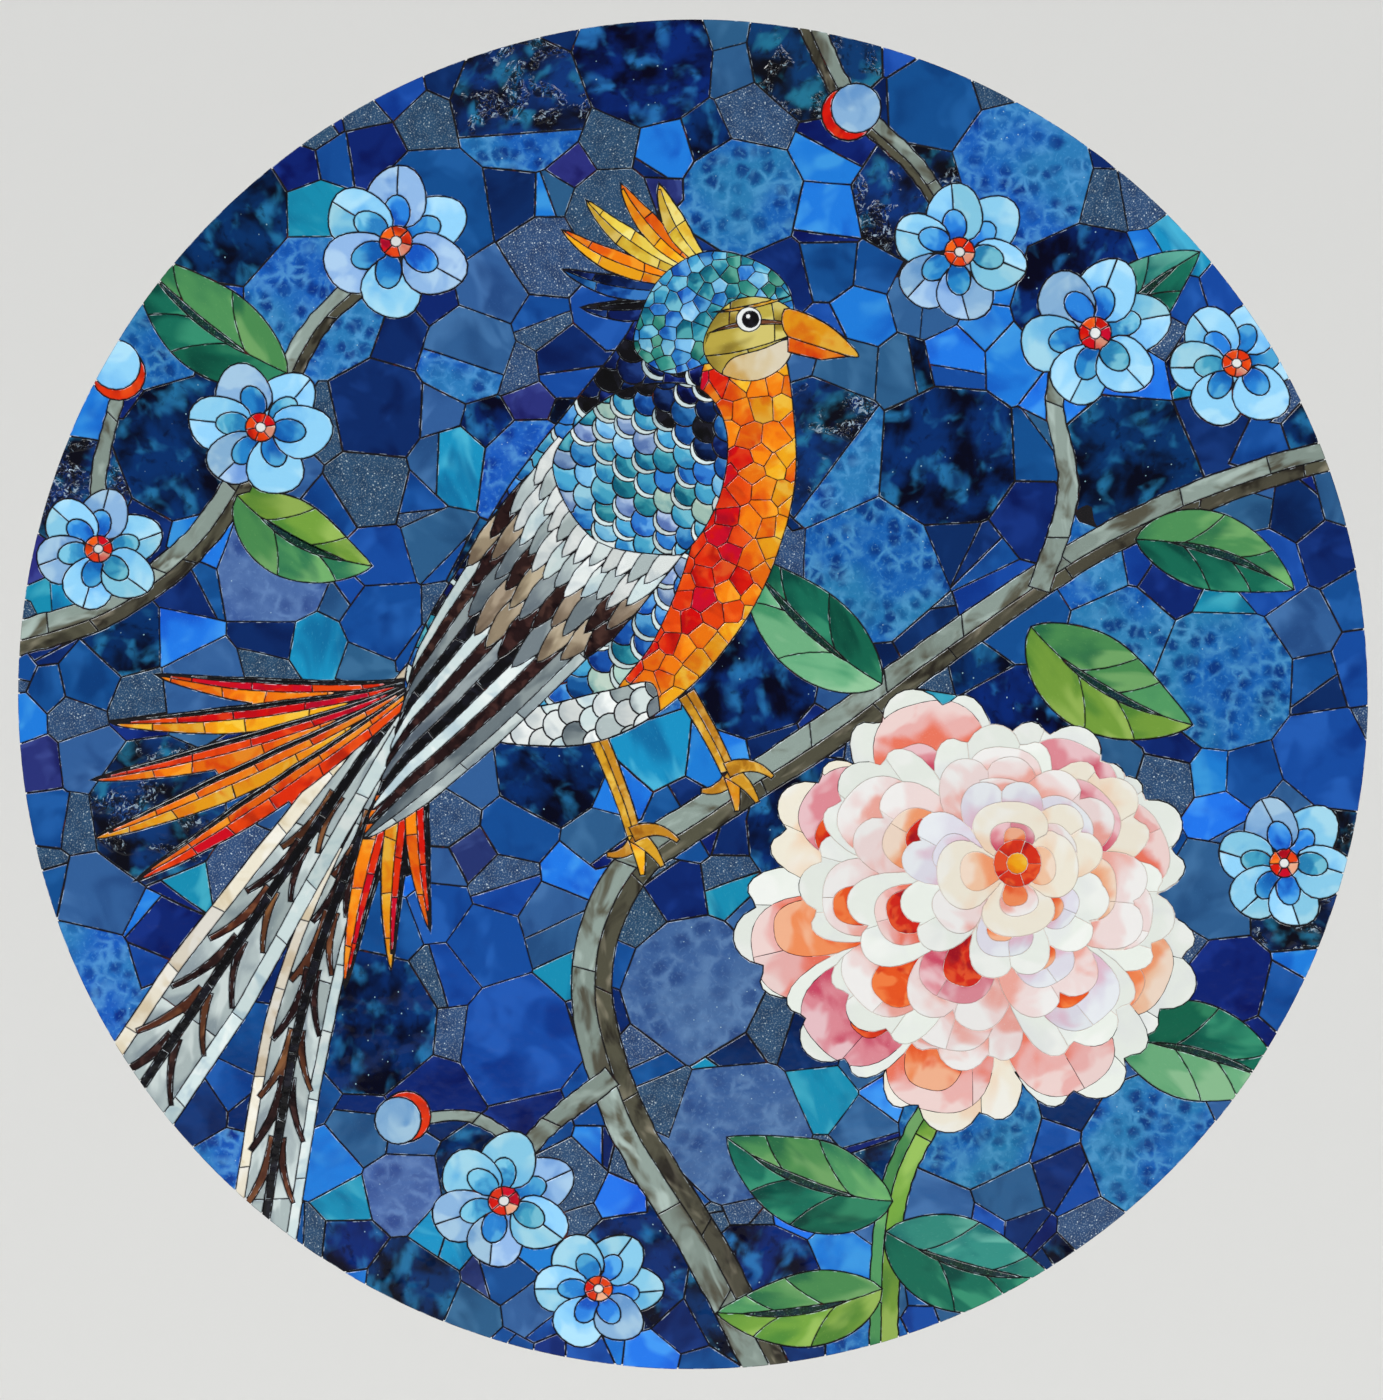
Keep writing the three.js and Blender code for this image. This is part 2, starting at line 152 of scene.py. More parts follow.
def beside(line, offset):
    """The line moved to its left by offset(t), with t from 0 to 1 along it."""
    last = len(line) - 1
    return [add(p, n, offset(i / last)) for i, (p, n) in enumerate(zip(line, normals(line)))]


def between(line, left, right):
    return beside(line, left) + beside(line, lambda t: -right(t))[::-1]


def midline(t):
    """For between(): a side that runs along the line itself."""
    return 0.0


def blade(line, half):
    """A shape that follows the line, half(t) wide on each side of it."""
    nearest = 0.4
    out = []
    for p in between(line, half, half):
        if not out or math.dist(p, out[-1]) > nearest:
            out.append(p)
    if math.dist(out[0], out[-1]) < nearest:
        out.pop()
    return out


def quill(width, foot, swell, taper, power):
    """The half-width of a feather, at t from 0 at its foot to 1 at its tip."""
    def half(t):
        return width / 2 * min(1, foot + swell * t) * min(1, (1 - t) * taper) ** power if t < 1 else 0
    return half


def cells(seeds, reach):
    """The convex cells of weighted seeds (x, y, radius)."""
    out = []
    for i, (x, y, r) in enumerate(seeds):
        cell = [(x - reach, y - reach), (x + reach, y - reach),
                (x + reach, y + reach), (x - reach, y + reach)]
        for j, (u, v, s) in enumerate(seeds):
            if j == i or abs(u - x) > 2 * reach or abs(v - y) > 2 * reach:
                continue
            toward = (u - x, v - y)
            limit = (u * u + v * v - x * x - y * y + r * r - s * s) / 2
            kept = []
            for a, b in zip(cell, cell[1:] + cell[:1]):
                da = a[0] * toward[0] + a[1] * toward[1] - limit
                db = b[0] * toward[0] + b[1] * toward[1] - limit
                if da <= 0:
                    kept.append(a)
                if (da < 0) != (db < 0) and da != db:
                    kept.append(lerp(a, b, da / (da - db)))
            cell = kept
            if len(cell) < 3:
                break
        out.append(cell)
    return out


# ---------------------------------------------------------------- the cutting plan

class Plan:
    """Regions of glass in painter's order, and the score lines that part them into tiles."""

    def __init__(self):
        self.regions = []
        self.scores = []

    def lay(self, piece, glass, outline, clip=0, joint=0.8, least=8.0, heading=None):
        """Lay a region over what is there. clip is the region that bounds it, at first the whole panel;
        joint is the grout's width, least the smallest tile's area, and heading the direction in which its
        glass changes from foot to tip."""
        outline = [tuple(p) for p in outline]
        if area(outline) < 0:
            outline.reverse()
        self.regions.append({"piece": piece, "glass": glass, "outline": outline, "clip": clip,
                             "joint": joint, "least": least, "heading": heading})
        return len(self.regions) - 1

    def score(self, region, line):
        self.scores.append((region, [tuple(p) for p in line]))

    def score_across(self, region, line, reach, every, slant=0.3):
        """Part a strip along the line about every so many millimetres."""
        n = normals(line)
        run, mark = 0.0, every * rng(0.4, 1.0)
        for i in range(1, len(line)):
            run += math.dist(line[i - 1], line[i])
            if run >= mark:
                mark += every * rng(0.75, 1.25)
                along = (n[i][1], -n[i][0])
                skew = rng(-slant, slant) * reach
                self.score(region, [add(add(line[i], n[i], reach), along, skew),
                                    add(add(line[i], n[i], -reach), along, -skew)])

    def shown(self, region, inside):
        while region is not None:
            if region not in inside:
                return False
            region = self.regions[region]["clip"]
        return True

    def split(self):
        """Triangles of the whole plan, each with the region that shows there, and the scored edges."""
        points, edges, owners, faces = [], [], [], []
        for region, line in self.scores:
            base = len(points)
            points += line
            edges += [(base + k, base + k + 1) for k in range(len(line) - 1)]
            owners += [region] * (len(line) - 1)
        for region in self.regions:
            faces.append(list(range(len(points), len(points) + len(region["outline"]))))
            points += region["outline"]
        verts, out_edges, triangles, _, edge_from, face_from = delaunay_2d_cdt(
            [Vector(p) for p in points], edges, faces, 0, PLAN_WELD)
        scored = {}
        for edge, sources in zip(out_edges, edge_from):
            who = {owners[i] for i in sources if i < len(owners)}
            if who:
                scored[(min(edge), max(edge))] = who
        labels = []
        for sources in face_from:
            inside = set(sources)
            tops = (i for i in sorted(inside, reverse=True) if self.shown(i, inside))
            labels.append(next(tops, -1))
        return verts, triangles, labels, scored

    def tiles(self):
        """The tiles, each with its region and its loops of points, the outer loop first."""
        verts, triangles, labels, scored = self.split()
        corners = [((t[0], t[1]), (t[1], t[2]), (t[2], t[0])) for t in triangles]
        sides = {}
        for t, edges in enumerate(corners):
            for a, b in edges:
                sides.setdefault((min(a, b), max(a, b)), []).append(t)
        parent = list(range(len(triangles)))

        def root(i):
            while parent[i] != i:
                parent[i] = parent[parent[i]]
                i = parent[i]
            return i

        for edge, pair in sides.items():
            if len(pair) == 2 and labels[pair[0]] == labels[pair[1]] \
                    and labels[pair[0]] not in scored.get(edge, ()):
                parent[root(pair[0])] = root(pair[1])
        groups, size = {}, {}
        for t, triangle in enumerate(triangles):
            if labels[t] >= 0:
                g = root(t)
                groups.setdefault(g, []).append(t)
                size[g] = size.get(g, 0) + abs(area([tuple(verts[i]) for i in triangle]))
        # An offcut too small to cut joins the neighbour that it shares most edge with.
        for g in sorted(groups, key=size.get):
            own = self.regions[labels[groups[g][0]]]
            if size[g] >= own["least"]:
                continue
            border = {}
            for t in groups[g]:
                for a, b in corners[t]:
                    for other in sides[(min(a, b), max(a, b))]:
                        h = root(other)
                        if h != root(t) and labels[other] >= 0:
                            kin = KIN if self.regions[labels[other]]["piece"] == own["piece"] else 1
                            border[h] = border.get(h, 0) + (verts[a] - verts[b]).length * kin
            if border:
                h = max(border, key=border.get)
                for t in groups[g]:
                    labels[t] = labels[groups[h][0]]
                parent[root(g)] = h
                groups[h] += groups[g]
                size[h] += size[g]
                groups[g] = []
        out = []
        for group in groups.values():
            inside = set(group)
            follow = {}
            for t in group:
                for a, b in corners[t]:
                    others = [o for o in sides[(min(a, b), max(a, b))] if o != t]
                    if not others or others[0] not in inside:
                        follow.setdefault(a, []).append(b)
            loops = []
            while follow:
                at = start = next(iter(follow))
                loop = []
                while at in follow:
                    loop.append(tuple(verts[at]))
                    after = follow[at].pop()
                    if not follow[at]:
                        del follow[at]
                    at = after
                    if at == start:
                        break
                if len(loop) > 2:
                    loops.append(loop)
            if loops:
                loops.sort(key=lambda loop: -abs(area(loop)))
                out.append({**self.regions[labels[group[0]]], "loops": loops})
        return out


plan = Plan()
plan.lay("ground", "cobalt", oval((0, 0), RADIUS, 240), None, least=40)    # region 0: the whole panel


def score_wedge(region, centre, angle, near, far):
    plan.score(region, [add(centre, unit(angle), near), add(centre, unit(angle), far)])


# ---------------------------------------------------------------- the ground

def throw_seeds(sizes):
    """Seeds for the ground: (radius, throws) from the big ones down, each clear of the ones before."""
    dart, seeds = Rng(77), []
    reach, rim, crowding = RADIUS + 10, RADIUS + 8, 0.9
    for r, throws in sizes:
        for _ in range(throws):
            x, y = dart(-reach, reach), dart(-reach, reach)
            if math.hypot(x, y) < rim and all(math.hypot(x - u, y - v) > crowding * (r + s)
                                              for u, v, s in seeds):
                seeds.append((x, y, r))
    return seeds


def weighted(options):
    """A glass by its share: "mottled 5, rippled 2" is mottled five times in seven."""
    names, shares = zip(*(option.split() for option in options.split(", ")))
    mark = rng(0, sum(map(float, shares)))
    for name, share in zip(names, shares):
        mark -= float(share)
        if mark <= 0:
            break
    return name


def ground_glass(radius):
    if radius > 34:
        return weighted("mottled 6, deep_water 3, rippled 2, haze 1")
    if radius > 26:
        return weighted("mottled 6, deep_water 5, rippled 2, slate 3, haze 2, cobalt 2")
    if radius > 18:
        return weighted("cobalt 6, slate 4, navy 3, glitter 3, mottled 3, deep_water 3, haze 1, teal 1")
    return weighted("cobalt 6, navy 4, glitter 3, slate 3, azure 2.6, teal 1.6, violet 0.8, deep_water 1")


def split_cell(cell):
    """Two shards: the cell is nipped across from one side to another."""
    start = int(rng(0, len(cell)))
    across = (start + len(cell) // 2 + int(rng(0, 2)) - 1) % len(cell)
    if abs(across - start) < 1:
        return [cell]
    a = lerp(cell[start], cell[start - 1], rng(0.1, 0.7))
    b = lerp(cell[across], cell[across - 1], rng(0.1, 0.7))
    low, high = sorted((start, across))
    ends = (a, b) if start < across else (b, a)
    return [[ends[0]] + cell[low:high] + [ends[1]], [ends[1]] + cell[high:] + cell[:low] + [ends[0]]]


def fewer_sides(cell, most):
    """The cell with its shortest corners filled out: a cutter makes few, long cuts round a big tile."""
    while len(cell) > most:
        best = None
        for i in range(len(cell)):
            a, b, c, d = (cell[(i + k) % len(cell)] for k in (-1, 0, 1, 2))
            p, q = (b[0] - a[0], b[1] - a[1]), (c[0] - d[0], c[1] - d[1])
            cross = p[0] * q[1] - p[1] * q[0]
            if cross < 1e-6:
                continue
            t = ((d[0] - a[0]) * q[1] - (d[1] - a[1]) * q[0]) / cross
            tip = lerp(a, b, t)
            extra = area([b, tip, c])
            if t > 1 and (best is None or abs(extra) < best[0]):
                best = (abs(extra), i, tip)
        if best is None:
            break
        _, i, tip = best
        cell = [p for k, p in enumerate(cell) if k != (i + 1) % len(cell)]
        cell[i if i < len(cell) else i - 1] = tip
    return cell


CELL_REACH = 90                    # more than any ground cell reaches from its seed
BIG, MIDDLING = 24, 18             # the seeds' radii from which tiles are nipped less often
seeds = throw_seeds(((40, 50), (33, 60), (26, 110), (20, 240), (15, 2600), (10, 5200)))
cut_cells = sorted(zip(seeds, cells(seeds, CELL_REACH)), key=lambda pair: pair[0][2])
for (_, _, radius), cell in cut_cells:
    if len(cell) < 3:
        continue
    if radius > BIG:
        cell = fewer_sides(cell, rng.pick((5, 6, 6, 7)))
    nipped = rng() < (0.5 if radius < MIDDLING else 0.35 if radius < BIG else 0.1)
    for shard in split_cell(cell) if nipped else [cell]:
        plan.lay("ground", ground_glass(radius), shard, joint=0.9, least=45)


# ---------------------------------------------------------------- branches, leaves and flowers

def lay_branch(piece, points, start_width, end_width, dark=0.42, glasses=("bark_pale", "bark_dark")):
    line = spline(points, step=4)
    knots = [rng(-0.45, 0.45) for _ in range(60)]

    def half(t):
        return (start_width + (end_width - start_width) * t) / 2 + knots[int(t * (len(knots) - 1))]
    whole = plan.lay(piece, glasses[0], blade(line, half), joint=0.7)
    plan.score_across(whole, line, start_width, 66, 0.7)
    if dark:
        under = plan.lay(piece, glasses[1], between(line, lambda t: -half(t) * (1 - 2 * dark), half),
                         joint=0.7)
        plan.score_across(under, line, start_width, 78, 0.7)


def lay_leaf(piece, base, tip, width, bend, light, dark, side=1, deep="bottle_green"):
    """A leaf in two halves, each cut across along its veins, with a dark midrib."""
    line = bow(base, tip, bend)
    n = normals(line)
    last = len(line) - 1

    def half(t):
        return width / 2 * math.sin(math.pi * t ** 0.82) ** 0.8 if 0 < t < 1 else 0
    whole = plan.lay(piece, dark, blade(line, half), joint=0.6)
    upper = plan.lay(piece, light, between(line, *(half, midline)[::side]), clip=whole, joint=0.6)
    for region, turn in ((whole, -side), (upper, side)):
        for t in (0.30, 0.58) if math.dist(base, tip) > 80 else (0.45,):
            t += rng(-0.05, 0.05)
            start = line[int(t * last)]
            end = add(line[min(last, int((t + 0.24) * last))], n[int(t * last)], turn * (half(t + 0.24) + 4))
            plan.score(region, bow(start, end, -turn * 0.12, parts=5))
    vein = line[int(0.22 * len(line)):int(0.86 * len(line))]
    plan.lay(piece, deep, blade(vein, lambda t: 2.3 * math.sin(math.pi * t) ** 0.7 if 0 < t < 1 else 0),
             clip=whole, joint=0.5, least=5)


def lay_blossom(piece, at, radius, turn, squash):
    """Six petals, each with a darker tile by the heart, round a ring of red and a white dot."""
    def spot(along, across, angle):
        return (at[0] + along * math.cos(angle) - across * math.sin(angle),
                at[1] + squash * (along * math.sin(angle) + across * math.cos(angle)))
    for k in range(6):
        angle = turn + math.pi / 3 * k + rng(-0.06, 0.06)
        away, size = radius * rng(0.57, 0.62), radius * rng(0.38, 0.42)
        outline = []
        for q in range(22):
            b = 2 * math.pi * q / 22
            wave = size * (1 + 0.05 * math.cos(3 * b + k))
            outline.append(spot(away + wave * 1.06 * math.cos(b), wave * 0.98 * math.sin(b), angle))
        petal = plan.lay(piece, weighted("petal_sky 7, petal_powder 3"), outline, least=14, heading=angle)
        lean = rng(-0.16, 0.16)
        if rng() < 0.72:
            plan.score(petal, [spot(radius * 0.5, radius * 0.5 * lean, angle),
                               spot(radius * 1.1, radius * rng(-0.15, 0.25) * lean, angle)])
        inner = [spot(radius * (0.40 + 0.24 * math.cos(math.pi * q / 9)),
                      radius * (0.175 * math.sin(math.pi * q / 9) + lean / 2), angle) for q in range(18)]
        plan.lay(piece, weighted("petal_blue 3, scale_sky 1"), inner, clip=petal, least=14, heading=angle)
    heart = plan.lay(piece, "red", oval(at, radius * 0.215, squash=squash), joint=0.7, least=6)
    for k, shade in enumerate(("red", "flame", "red", "red", "salmon", "red")):
        angle = turn + 0.3 + k * math.pi / 3
        wedge = [at, spot(radius * 0.3, 0, angle), spot(radius * 0.33, 0, angle + 0.52),
                 spot(radius * 0.3, 0, angle + math.pi / 3)]
        plan.lay(piece, shade, wedge, clip=heart, joint=0.5, least=4)
    plan.lay(piece, "chalk", oval(at, radius * 0.075, 14, squash), joint=0.5, least=4)


def lay_bud(piece, at, radius, turn):
    plan.lay(piece, "red", oval(at, radius), joint=0.7, least=10)
    petal = oval(add(at, unit(turn), radius * 0.34), radius * 0.92)
    plan.lay(piece, rng.pick(("petal_sky", "petal_powder")), petal, joint=0.7, least=10)


def lay_flower(piece, at, radius):
    """The big flower: five rounds of petals with pale rims, blushing middles and a glow at their feet."""
    rounds = (  # petals, reach, angular width, lobes, glass from the rim inwards
        (9, 1.00, 0.46, 3, ("petal_white", "petal_pink", "petal_coral")),
        (8, 0.82, 0.50, 3, ("petal_white", "petal_blush", "petal_flame")),
        (7, 0.64, 0.55, 2, ("petal_blush", "petal_pink", "petal_red")),
        (6, 0.46, 0.62, 2, ("petal_white", "petal_lilac", "petal_flame")),
        (4, 0.30, 0.85, 1, ("petal_cream", "petal_peach", "petal_coral")),
    )
    for level, (count, reach, wide, lobes, glass) in enumerate(rounds):
        centre = add(at, (5.0, 6.0), level)
        start = 0.4 + 1.1 * level
        following = rounds[level + 1][1] / reach if level + 1 < len(rounds) else 0.6
        for k in list(range(count))[::2] + list(range(count))[1::2]:
            angle = start + 2 * math.pi * k / count + rng(-0.09, 0.09)
            far = radius * reach * rng(0.93, 1.04)

            def petal(scale, width, wave, lean=0.0):
                outline = []
                for q in range(27):
                    u = q / 13 - 1
                    lobe = abs(math.sin(lobes * math.pi * (u + 1) / 2)) ** 0.55 if lobes > 1 else 1.0
                    r = far * scale * (0.28 + 0.72 * (1 - abs(u) ** 3) ** 0.42) * (1 - wave + wave * lobe)
                    a = angle + lean + u * width
                    outline.append(add(centre, (math.cos(a), 0.93 * math.sin(a)), r))
                return outline + [add(centre, unit(angle), far * 0.08)]

            def petal_glass(usual, share, *others):
                return usual if rng() < share else rng.pick(["petal_" + other for other in others])

            def lay_petal(glass_name, outline, clip=0):
                return plan.lay(piece, glass_name, outline, clip, joint=0.32, least=30, heading=angle)
            rim = lay_petal(petal_glass(glass[0], 0.75, "white", "cream", "blush", "lilac"),
                            petal(1.0, wide, 0.13))
            for q in range(1, lobes):
                score_wedge(rim, centre, angle + wide * (2 * q / lobes - 1), far * 0.3, far * 1.1)
            lean = rng(-0.12, 0.12)
            middle = lay_petal(petal_glass(glass[1], 0.6, "blush", "pink", "lilac", "peach", "rose"),
                               petal(following + rng(0.06, 0.12), wide * rng(0.72, 0.9), 0.0, lean), rim)
            a = angle + rng(-0.12, 0.12)
            if rng() < 0.6:
                plan.score(middle, [add(centre, unit(a), far * 0.2),
                                    add(centre, unit(a + rng(-0.1, 0.1)), far * 1.1)])
            if rng() < 0.72:
                lay_petal(petal_glass(glass[2], 0.6, "coral", "flame", "red", "rose"),
                          petal(following + rng(-0.06, 0.035), wide * rng(0.4, 0.62), 0.0,
                                lean - rng(-0.14, 0.14)), middle)
    heart_at = add(at, (24, 28))
    heart = plan.lay(piece, "petal_red", oval(heart_at, radius * 0.10, 18), joint=0.4)
    for k in range(5):
        score_wedge(heart, heart_at, k * 2 * math.pi / 5, 0, 30)
    plan.lay(piece, "amber", oval(heart_at, radius * 0.045, 12), joint=0.4, least=4)


lay_branch("branch_main", [(52, -415), (8, -330), (-40, -250), (-60, -172), (-40, -108), (14, -66), (84, -20),
                           (160, 36), (246, 92), (330, 128), (412, 150)], 27, 17)
lay_branch("branch_main", [(205, 62), (222, 120), (214, 176), (226, 232)], 13, 9, 0)
lay_branch("branch_top", [(66, 404), (92, 352), (132, 312), (160, 268)], 15, 10, 0.4)
lay_branch("branch_left", [(-410, 30), (-344, 52), (-292, 92), (-256, 150), (-226, 214), (-176, 262)], 21, 12)
lay_branch("branch_left", [(-330, 60), (-352, 118), (-340, 180)], 10, 8, 0)
lay_branch("branch_main", [(-48, -226), (-92, -262), (-120, -310)], 13, 9, 0)
lay_branch("branch_main", [(-100, -268), (-132, -250), (-165, -252)], 8, 6, 0)
lay_branch("flower_stem", [(150, -230), (118, -300), (112, -410)], 17, 17, 0.4, ("lime", "leaf_green"))

for number, leaf in enumerate((
        ((112, 6), (30, 84), 50, 0.12, "mint", "emerald", 1),
        ((200, 40), (296, -18), 56, -0.16, "lime", "leaf_green", -1),
        ((262, 92), (356, 62), 46, 0.14, "leaf_green", "emerald", 1),
        ((118, -300), (20, -262), 54, 0.16, "leaf_green", "emerald", -1),
        ((114, -318), (214, -346), 56, -0.14, "sea_green", "emerald", 1),
        ((112, -352), (14, -366), 44, 0.12, "lime", "leaf_green", 1),
        ((250, -205), (352, -235), 58, 0.14, "mint", "emerald", -1),
        ((-270, 118), (-190, 76), 46, -0.18, "lime", "leaf_green", 1),
        ((-240, 190), (-330, 262), 52, 0.14, "leaf_green", "emerald", -1),
        ((230, 190), (300, 262), 44, 0.14, "sea_green", "emerald", 1)), 1):
    lay_leaf("leaf_%d" % number, *leaf)

for number, (at, radius, turn) in enumerate((
        ((238, 214), 44, 0.2), ((158, 262), 41, 0.7), ((322, 196), 40, 0.1), ((-176, 268), 45, 0.5),
        ((-256, 158), 42, 0.9), ((-352, 86), 38, 0.3), ((-112, -300), 43, 0.4), ((-56, -352), 38, 0.0),
        ((350, -100), 40, 0.8)), 1):
    lay_blossom("blossom_%d" % number, at, radius, turn, rng(0.9, 1.0))

for number, (at, radius, turn) in enumerate((((92, 344), 16, 0.6), ((-340, 190), 16, 1.9),
                                             ((-170, -250), 15, 3.6)), 1):
    lay_bud("bud_%d" % number, at, radius, turn)


# ---------------------------------------------------------------- the bird

def lay_plume(piece, base, tip, bend, width, upper, lower, side=1, every=34, under="black"):
    """A narrow feather: its upper half, its lower half, and a dark edge under them."""
    line = bow(base, tip, bend)
    half = quill(width, 0.45, 1.3, 2.6, 0.62)

    def inner(t):
        return half(t) * (0.62 if under == "black" else 1)
    plan.lay(piece, under, blade(line, half), joint=0.5)
    for glass, pair in ((upper, (half, midline)), (lower, (midline, inner))):
        strip = plan.lay(piece, glass, between(line, *pair[::side]), joint=0.5)
        plan.score_across(strip, line, width, every)


def lay_scales(piece, clip, origin, heading, rows, columns, pitch, choose, step=0.60, crest=0.45):
    """Round tiles that overlap like roof tiles, the first rows last; some show a pale crescent above."""
    along, across = unit(heading), unit(heading + math.pi / 2)
    for row in reversed(range(rows)):
        for column in range(-columns, columns + 1):
            shift, sway = rng(-0.08, 0.08), rng(-0.08, 0.08)
            centre = add(add(origin, along, (row + shift) * pitch * step), across,
                         (column + 0.5 * (row % 2) + sway) * pitch)
            glass, radius = choose(centre, row), pitch * rng(0.56, 0.62)
            if rng() < crest:
                plan.lay(piece, "ice", oval(centre, radius, 18), clip=clip, joint=0.4, least=9)
                centre = add(centre, along, -pitch * 0.17)
            plan.lay(piece, glass, oval(centre, radius, 18), clip=clip, joint=0.8, least=8,
                     heading=heading + math.pi + rng(-0.3, 0.3))


def lay_cobbles(piece, clip, low, high, pitch, choose, turn=0.0, along=1.0, jitter=0.3):
    """Small many-sided tiles that fill the clip region between two corners."""
    middle, span = lerp(low, high, 0.5), math.dist(low, high) / 2
    rows, columns = int(span / pitch) + 1, int(span / (pitch * along)) + 1
    spots = []
    for i in range(-rows, rows + 1):
        for j in range(-columns, columns + 1):
            u = (j + 0.5 * (i % 2) + rng(-jitter, jitter)) * pitch * along
            v = (i + rng(-jitter, jitter)) * pitch
            spots.append((*add(add(middle, unit(turn), u), unit(turn + math.pi / 2), v), 0))
    for (x, y, _), cell in zip(spots, cells(spots, 3 * pitch * max(1, along))):
        if len(cell) > 2:
            plan.lay(piece, choose((x, y)), cell, clip=clip, joint=0.45, least=pitch * pitch * 0.14)


def lay_tail_feather(piece, points, width, first):
    """A long barred feather: two pale edges, dark bars that slant out from the shaft, and the shaft."""
    line = spline(points, step=5)
    n = normals(line)
    last = len(line) - 1
    edge = width * 0.15

    def half(t):
        return width / 2 * min(1, 0.35 + 1.1 * t)

    def inner(t):
        return edge - half(t)
    whole = plan.lay(piece, "silver", blade(line, half), joint=0.6, least=12)
    for glass, pair in (("ice", (half, inner)), ("cream", (inner, half))):
        strip = plan.lay(piece, glass, between(line, *pair), clip=whole, joint=0.5)
        plan.score_across(strip, line, width, 46)
    plan.score_across(whole, line, width, 120)
    for k in range(first, 12):
        i = int((0.05 + k * 0.094) * last)
        if i + 9 > last:
            break
        for side, reach, thick in ((-1, 9, 3.4), (1, 7, 2.6)):
            start = add(line[i], n[i], side * 2)
            end = add(line[i + reach], n[i], side * (half(i / last) - edge + 1))
            bar = blade(bow(start, end, -side * 0.12, parts=7), lambda t: thick * (1 - 0.55 * t))
            plan.lay(piece, ("bronze", "plum_black")[k % 2], bar, clip=whole, joint=0.5, least=5)
    shaft = plan.lay(piece, "black", between(line, lambda t: 2.6, lambda t: 2.6), clip=whole, joint=0.5,
                     least=6)
    plan.score_across(shaft, line, 6, 52)


lay_tail_feather("tail_feather_2", [(-150, 6), (-196, -84), (-232, -190), (-258, -340)], 40, 2)
lay_tail_feather("tail_feather_1", [(-158, 16), (-222, -76), (-286, -172), (-372, -300)], 56, 2)

for degrees, length, bend, width, upper, lower in (
        (178, 150, 0.10, 15, "orange", "red"), (187, 178, 0.08, 16, "amber", "red"),
        (196, 196, 0.07, 16, "orange", "red"), (205, 206, 0.05, 17, "amber", "orange"),
        (214, 198, 0.04, 16, "red", "orange"), (255, 176, -0.06, 15, "orange", "red"),
        (263, 160, -0.08, 15, "amber", "red"), (271, 136, -0.10, 14, "orange", "red")):
    angle = math.radians(degrees)
    root = add((-158, 6), unit(angle), 10)
    lay_plume("tail_plumes", root, add(root, unit(angle), length), bend, width, upper, lower,
              1 if degrees < 230 else -1)

for piece, hip, ankle in (("leg_far", (-4, 0), (22, -48)), ("leg_near", (-58, -22), (-34, -86))):
    bone = bow(hip, ankle, 0.04)
    shank = plan.lay(piece, "ochre", blade(bone, lambda t: 5.4 - 1.2 * t), joint=0.5)
    plan.score(shank, bone)
    for toe, bend, glass in (((-17, -9), 0.4, "ochre"), ((4, -21), 0.05, "amber"), ((16, -16), 0.15, "ochre"),
                             ((25, -1), 0.35, "ochre")):
        line = bow(add(ankle, (-toe[0] * 0.08, 3)), add(ankle, toe), bend, 2.5)
        plan.lay(piece, glass, blade(line, lambda t: 4.6 * (1 - 0.72 * t ** 1.4)), joint=0.5, least=5)

body = plan.lay("bird_back", "scale_blue", spline(
    [(50, 214), (60, 160), (58, 112), (38, 56), (0, 6), (-50, -26), (-100, -30), (-142, -20), (-170, 2),
     (-160, 38), (-134, 82), (-104, 130), (-68, 176), (-40, 212), (-20, 246), (20, 256)], True), joint=0.6)


def back_glass(at, row):
    if at[1] > 170:
        return weighted("scale_navy 5, black 3, scale_blue 2")
    if at[0] < -110:
        return weighted("scale_navy 7, scale_teal 5, scale_blue 6, black 2")
    return weighted("scale_sky 8, scale_teal 4, scale_mid 5, scale_blue 3, scale_lilac 3, scale_mint 1")


lay_scales("bird_back", body, (-10, 240), math.atan2(-0.80, -0.60), 27, 6, 17.5, back_glass)

breast = plan.lay("bird_breast", "orange", spline(
    [(30, 226), (70, 210), (80, 110), (60, 40), (10, -16), (-34, -40), (-50, -8), (-22, 34), (-2, 84),
     (6, 130), (4, 168), (8, 200)], True), clip=body, joint=0.6)


def breast_glass(at):
    out = math.dist(at, (-60, 110))
    if out > 108:
        return weighted("amber 3, orange 2")
    if out > 92:
        return weighted("orange 13, red 7")
    return weighted("red 7, flame 3")


lay_cobbles("bird_breast", breast, (-50, -40), (80, 226), 10.5, breast_glass, turn=1.1, along=1.35,
            jitter=0.36)

belly = plan.lay("bird_belly", "silver", spline(
    [(-22, 4), (-52, 2), (-100, -8), (-150, -2), (-176, -30), (-100, -52), (-30, -48)], True),
    clip=body, joint=0.6)
lay_scales("bird_belly", belly, (-20, 6), math.atan2(-0.16, -1), 18, 3, 15,
           lambda at, row: weighted("white 2, silver 1, ice 1, silver_dark 1"), step=0.7, crest=0)

SHOULDER, WING_RUN = (-4, 166), (-0.635, -0.772)


def wing(along, across):
    return add(add(SHOULDER, WING_RUN, along), (-WING_RUN[1], WING_RUN[0]), across)


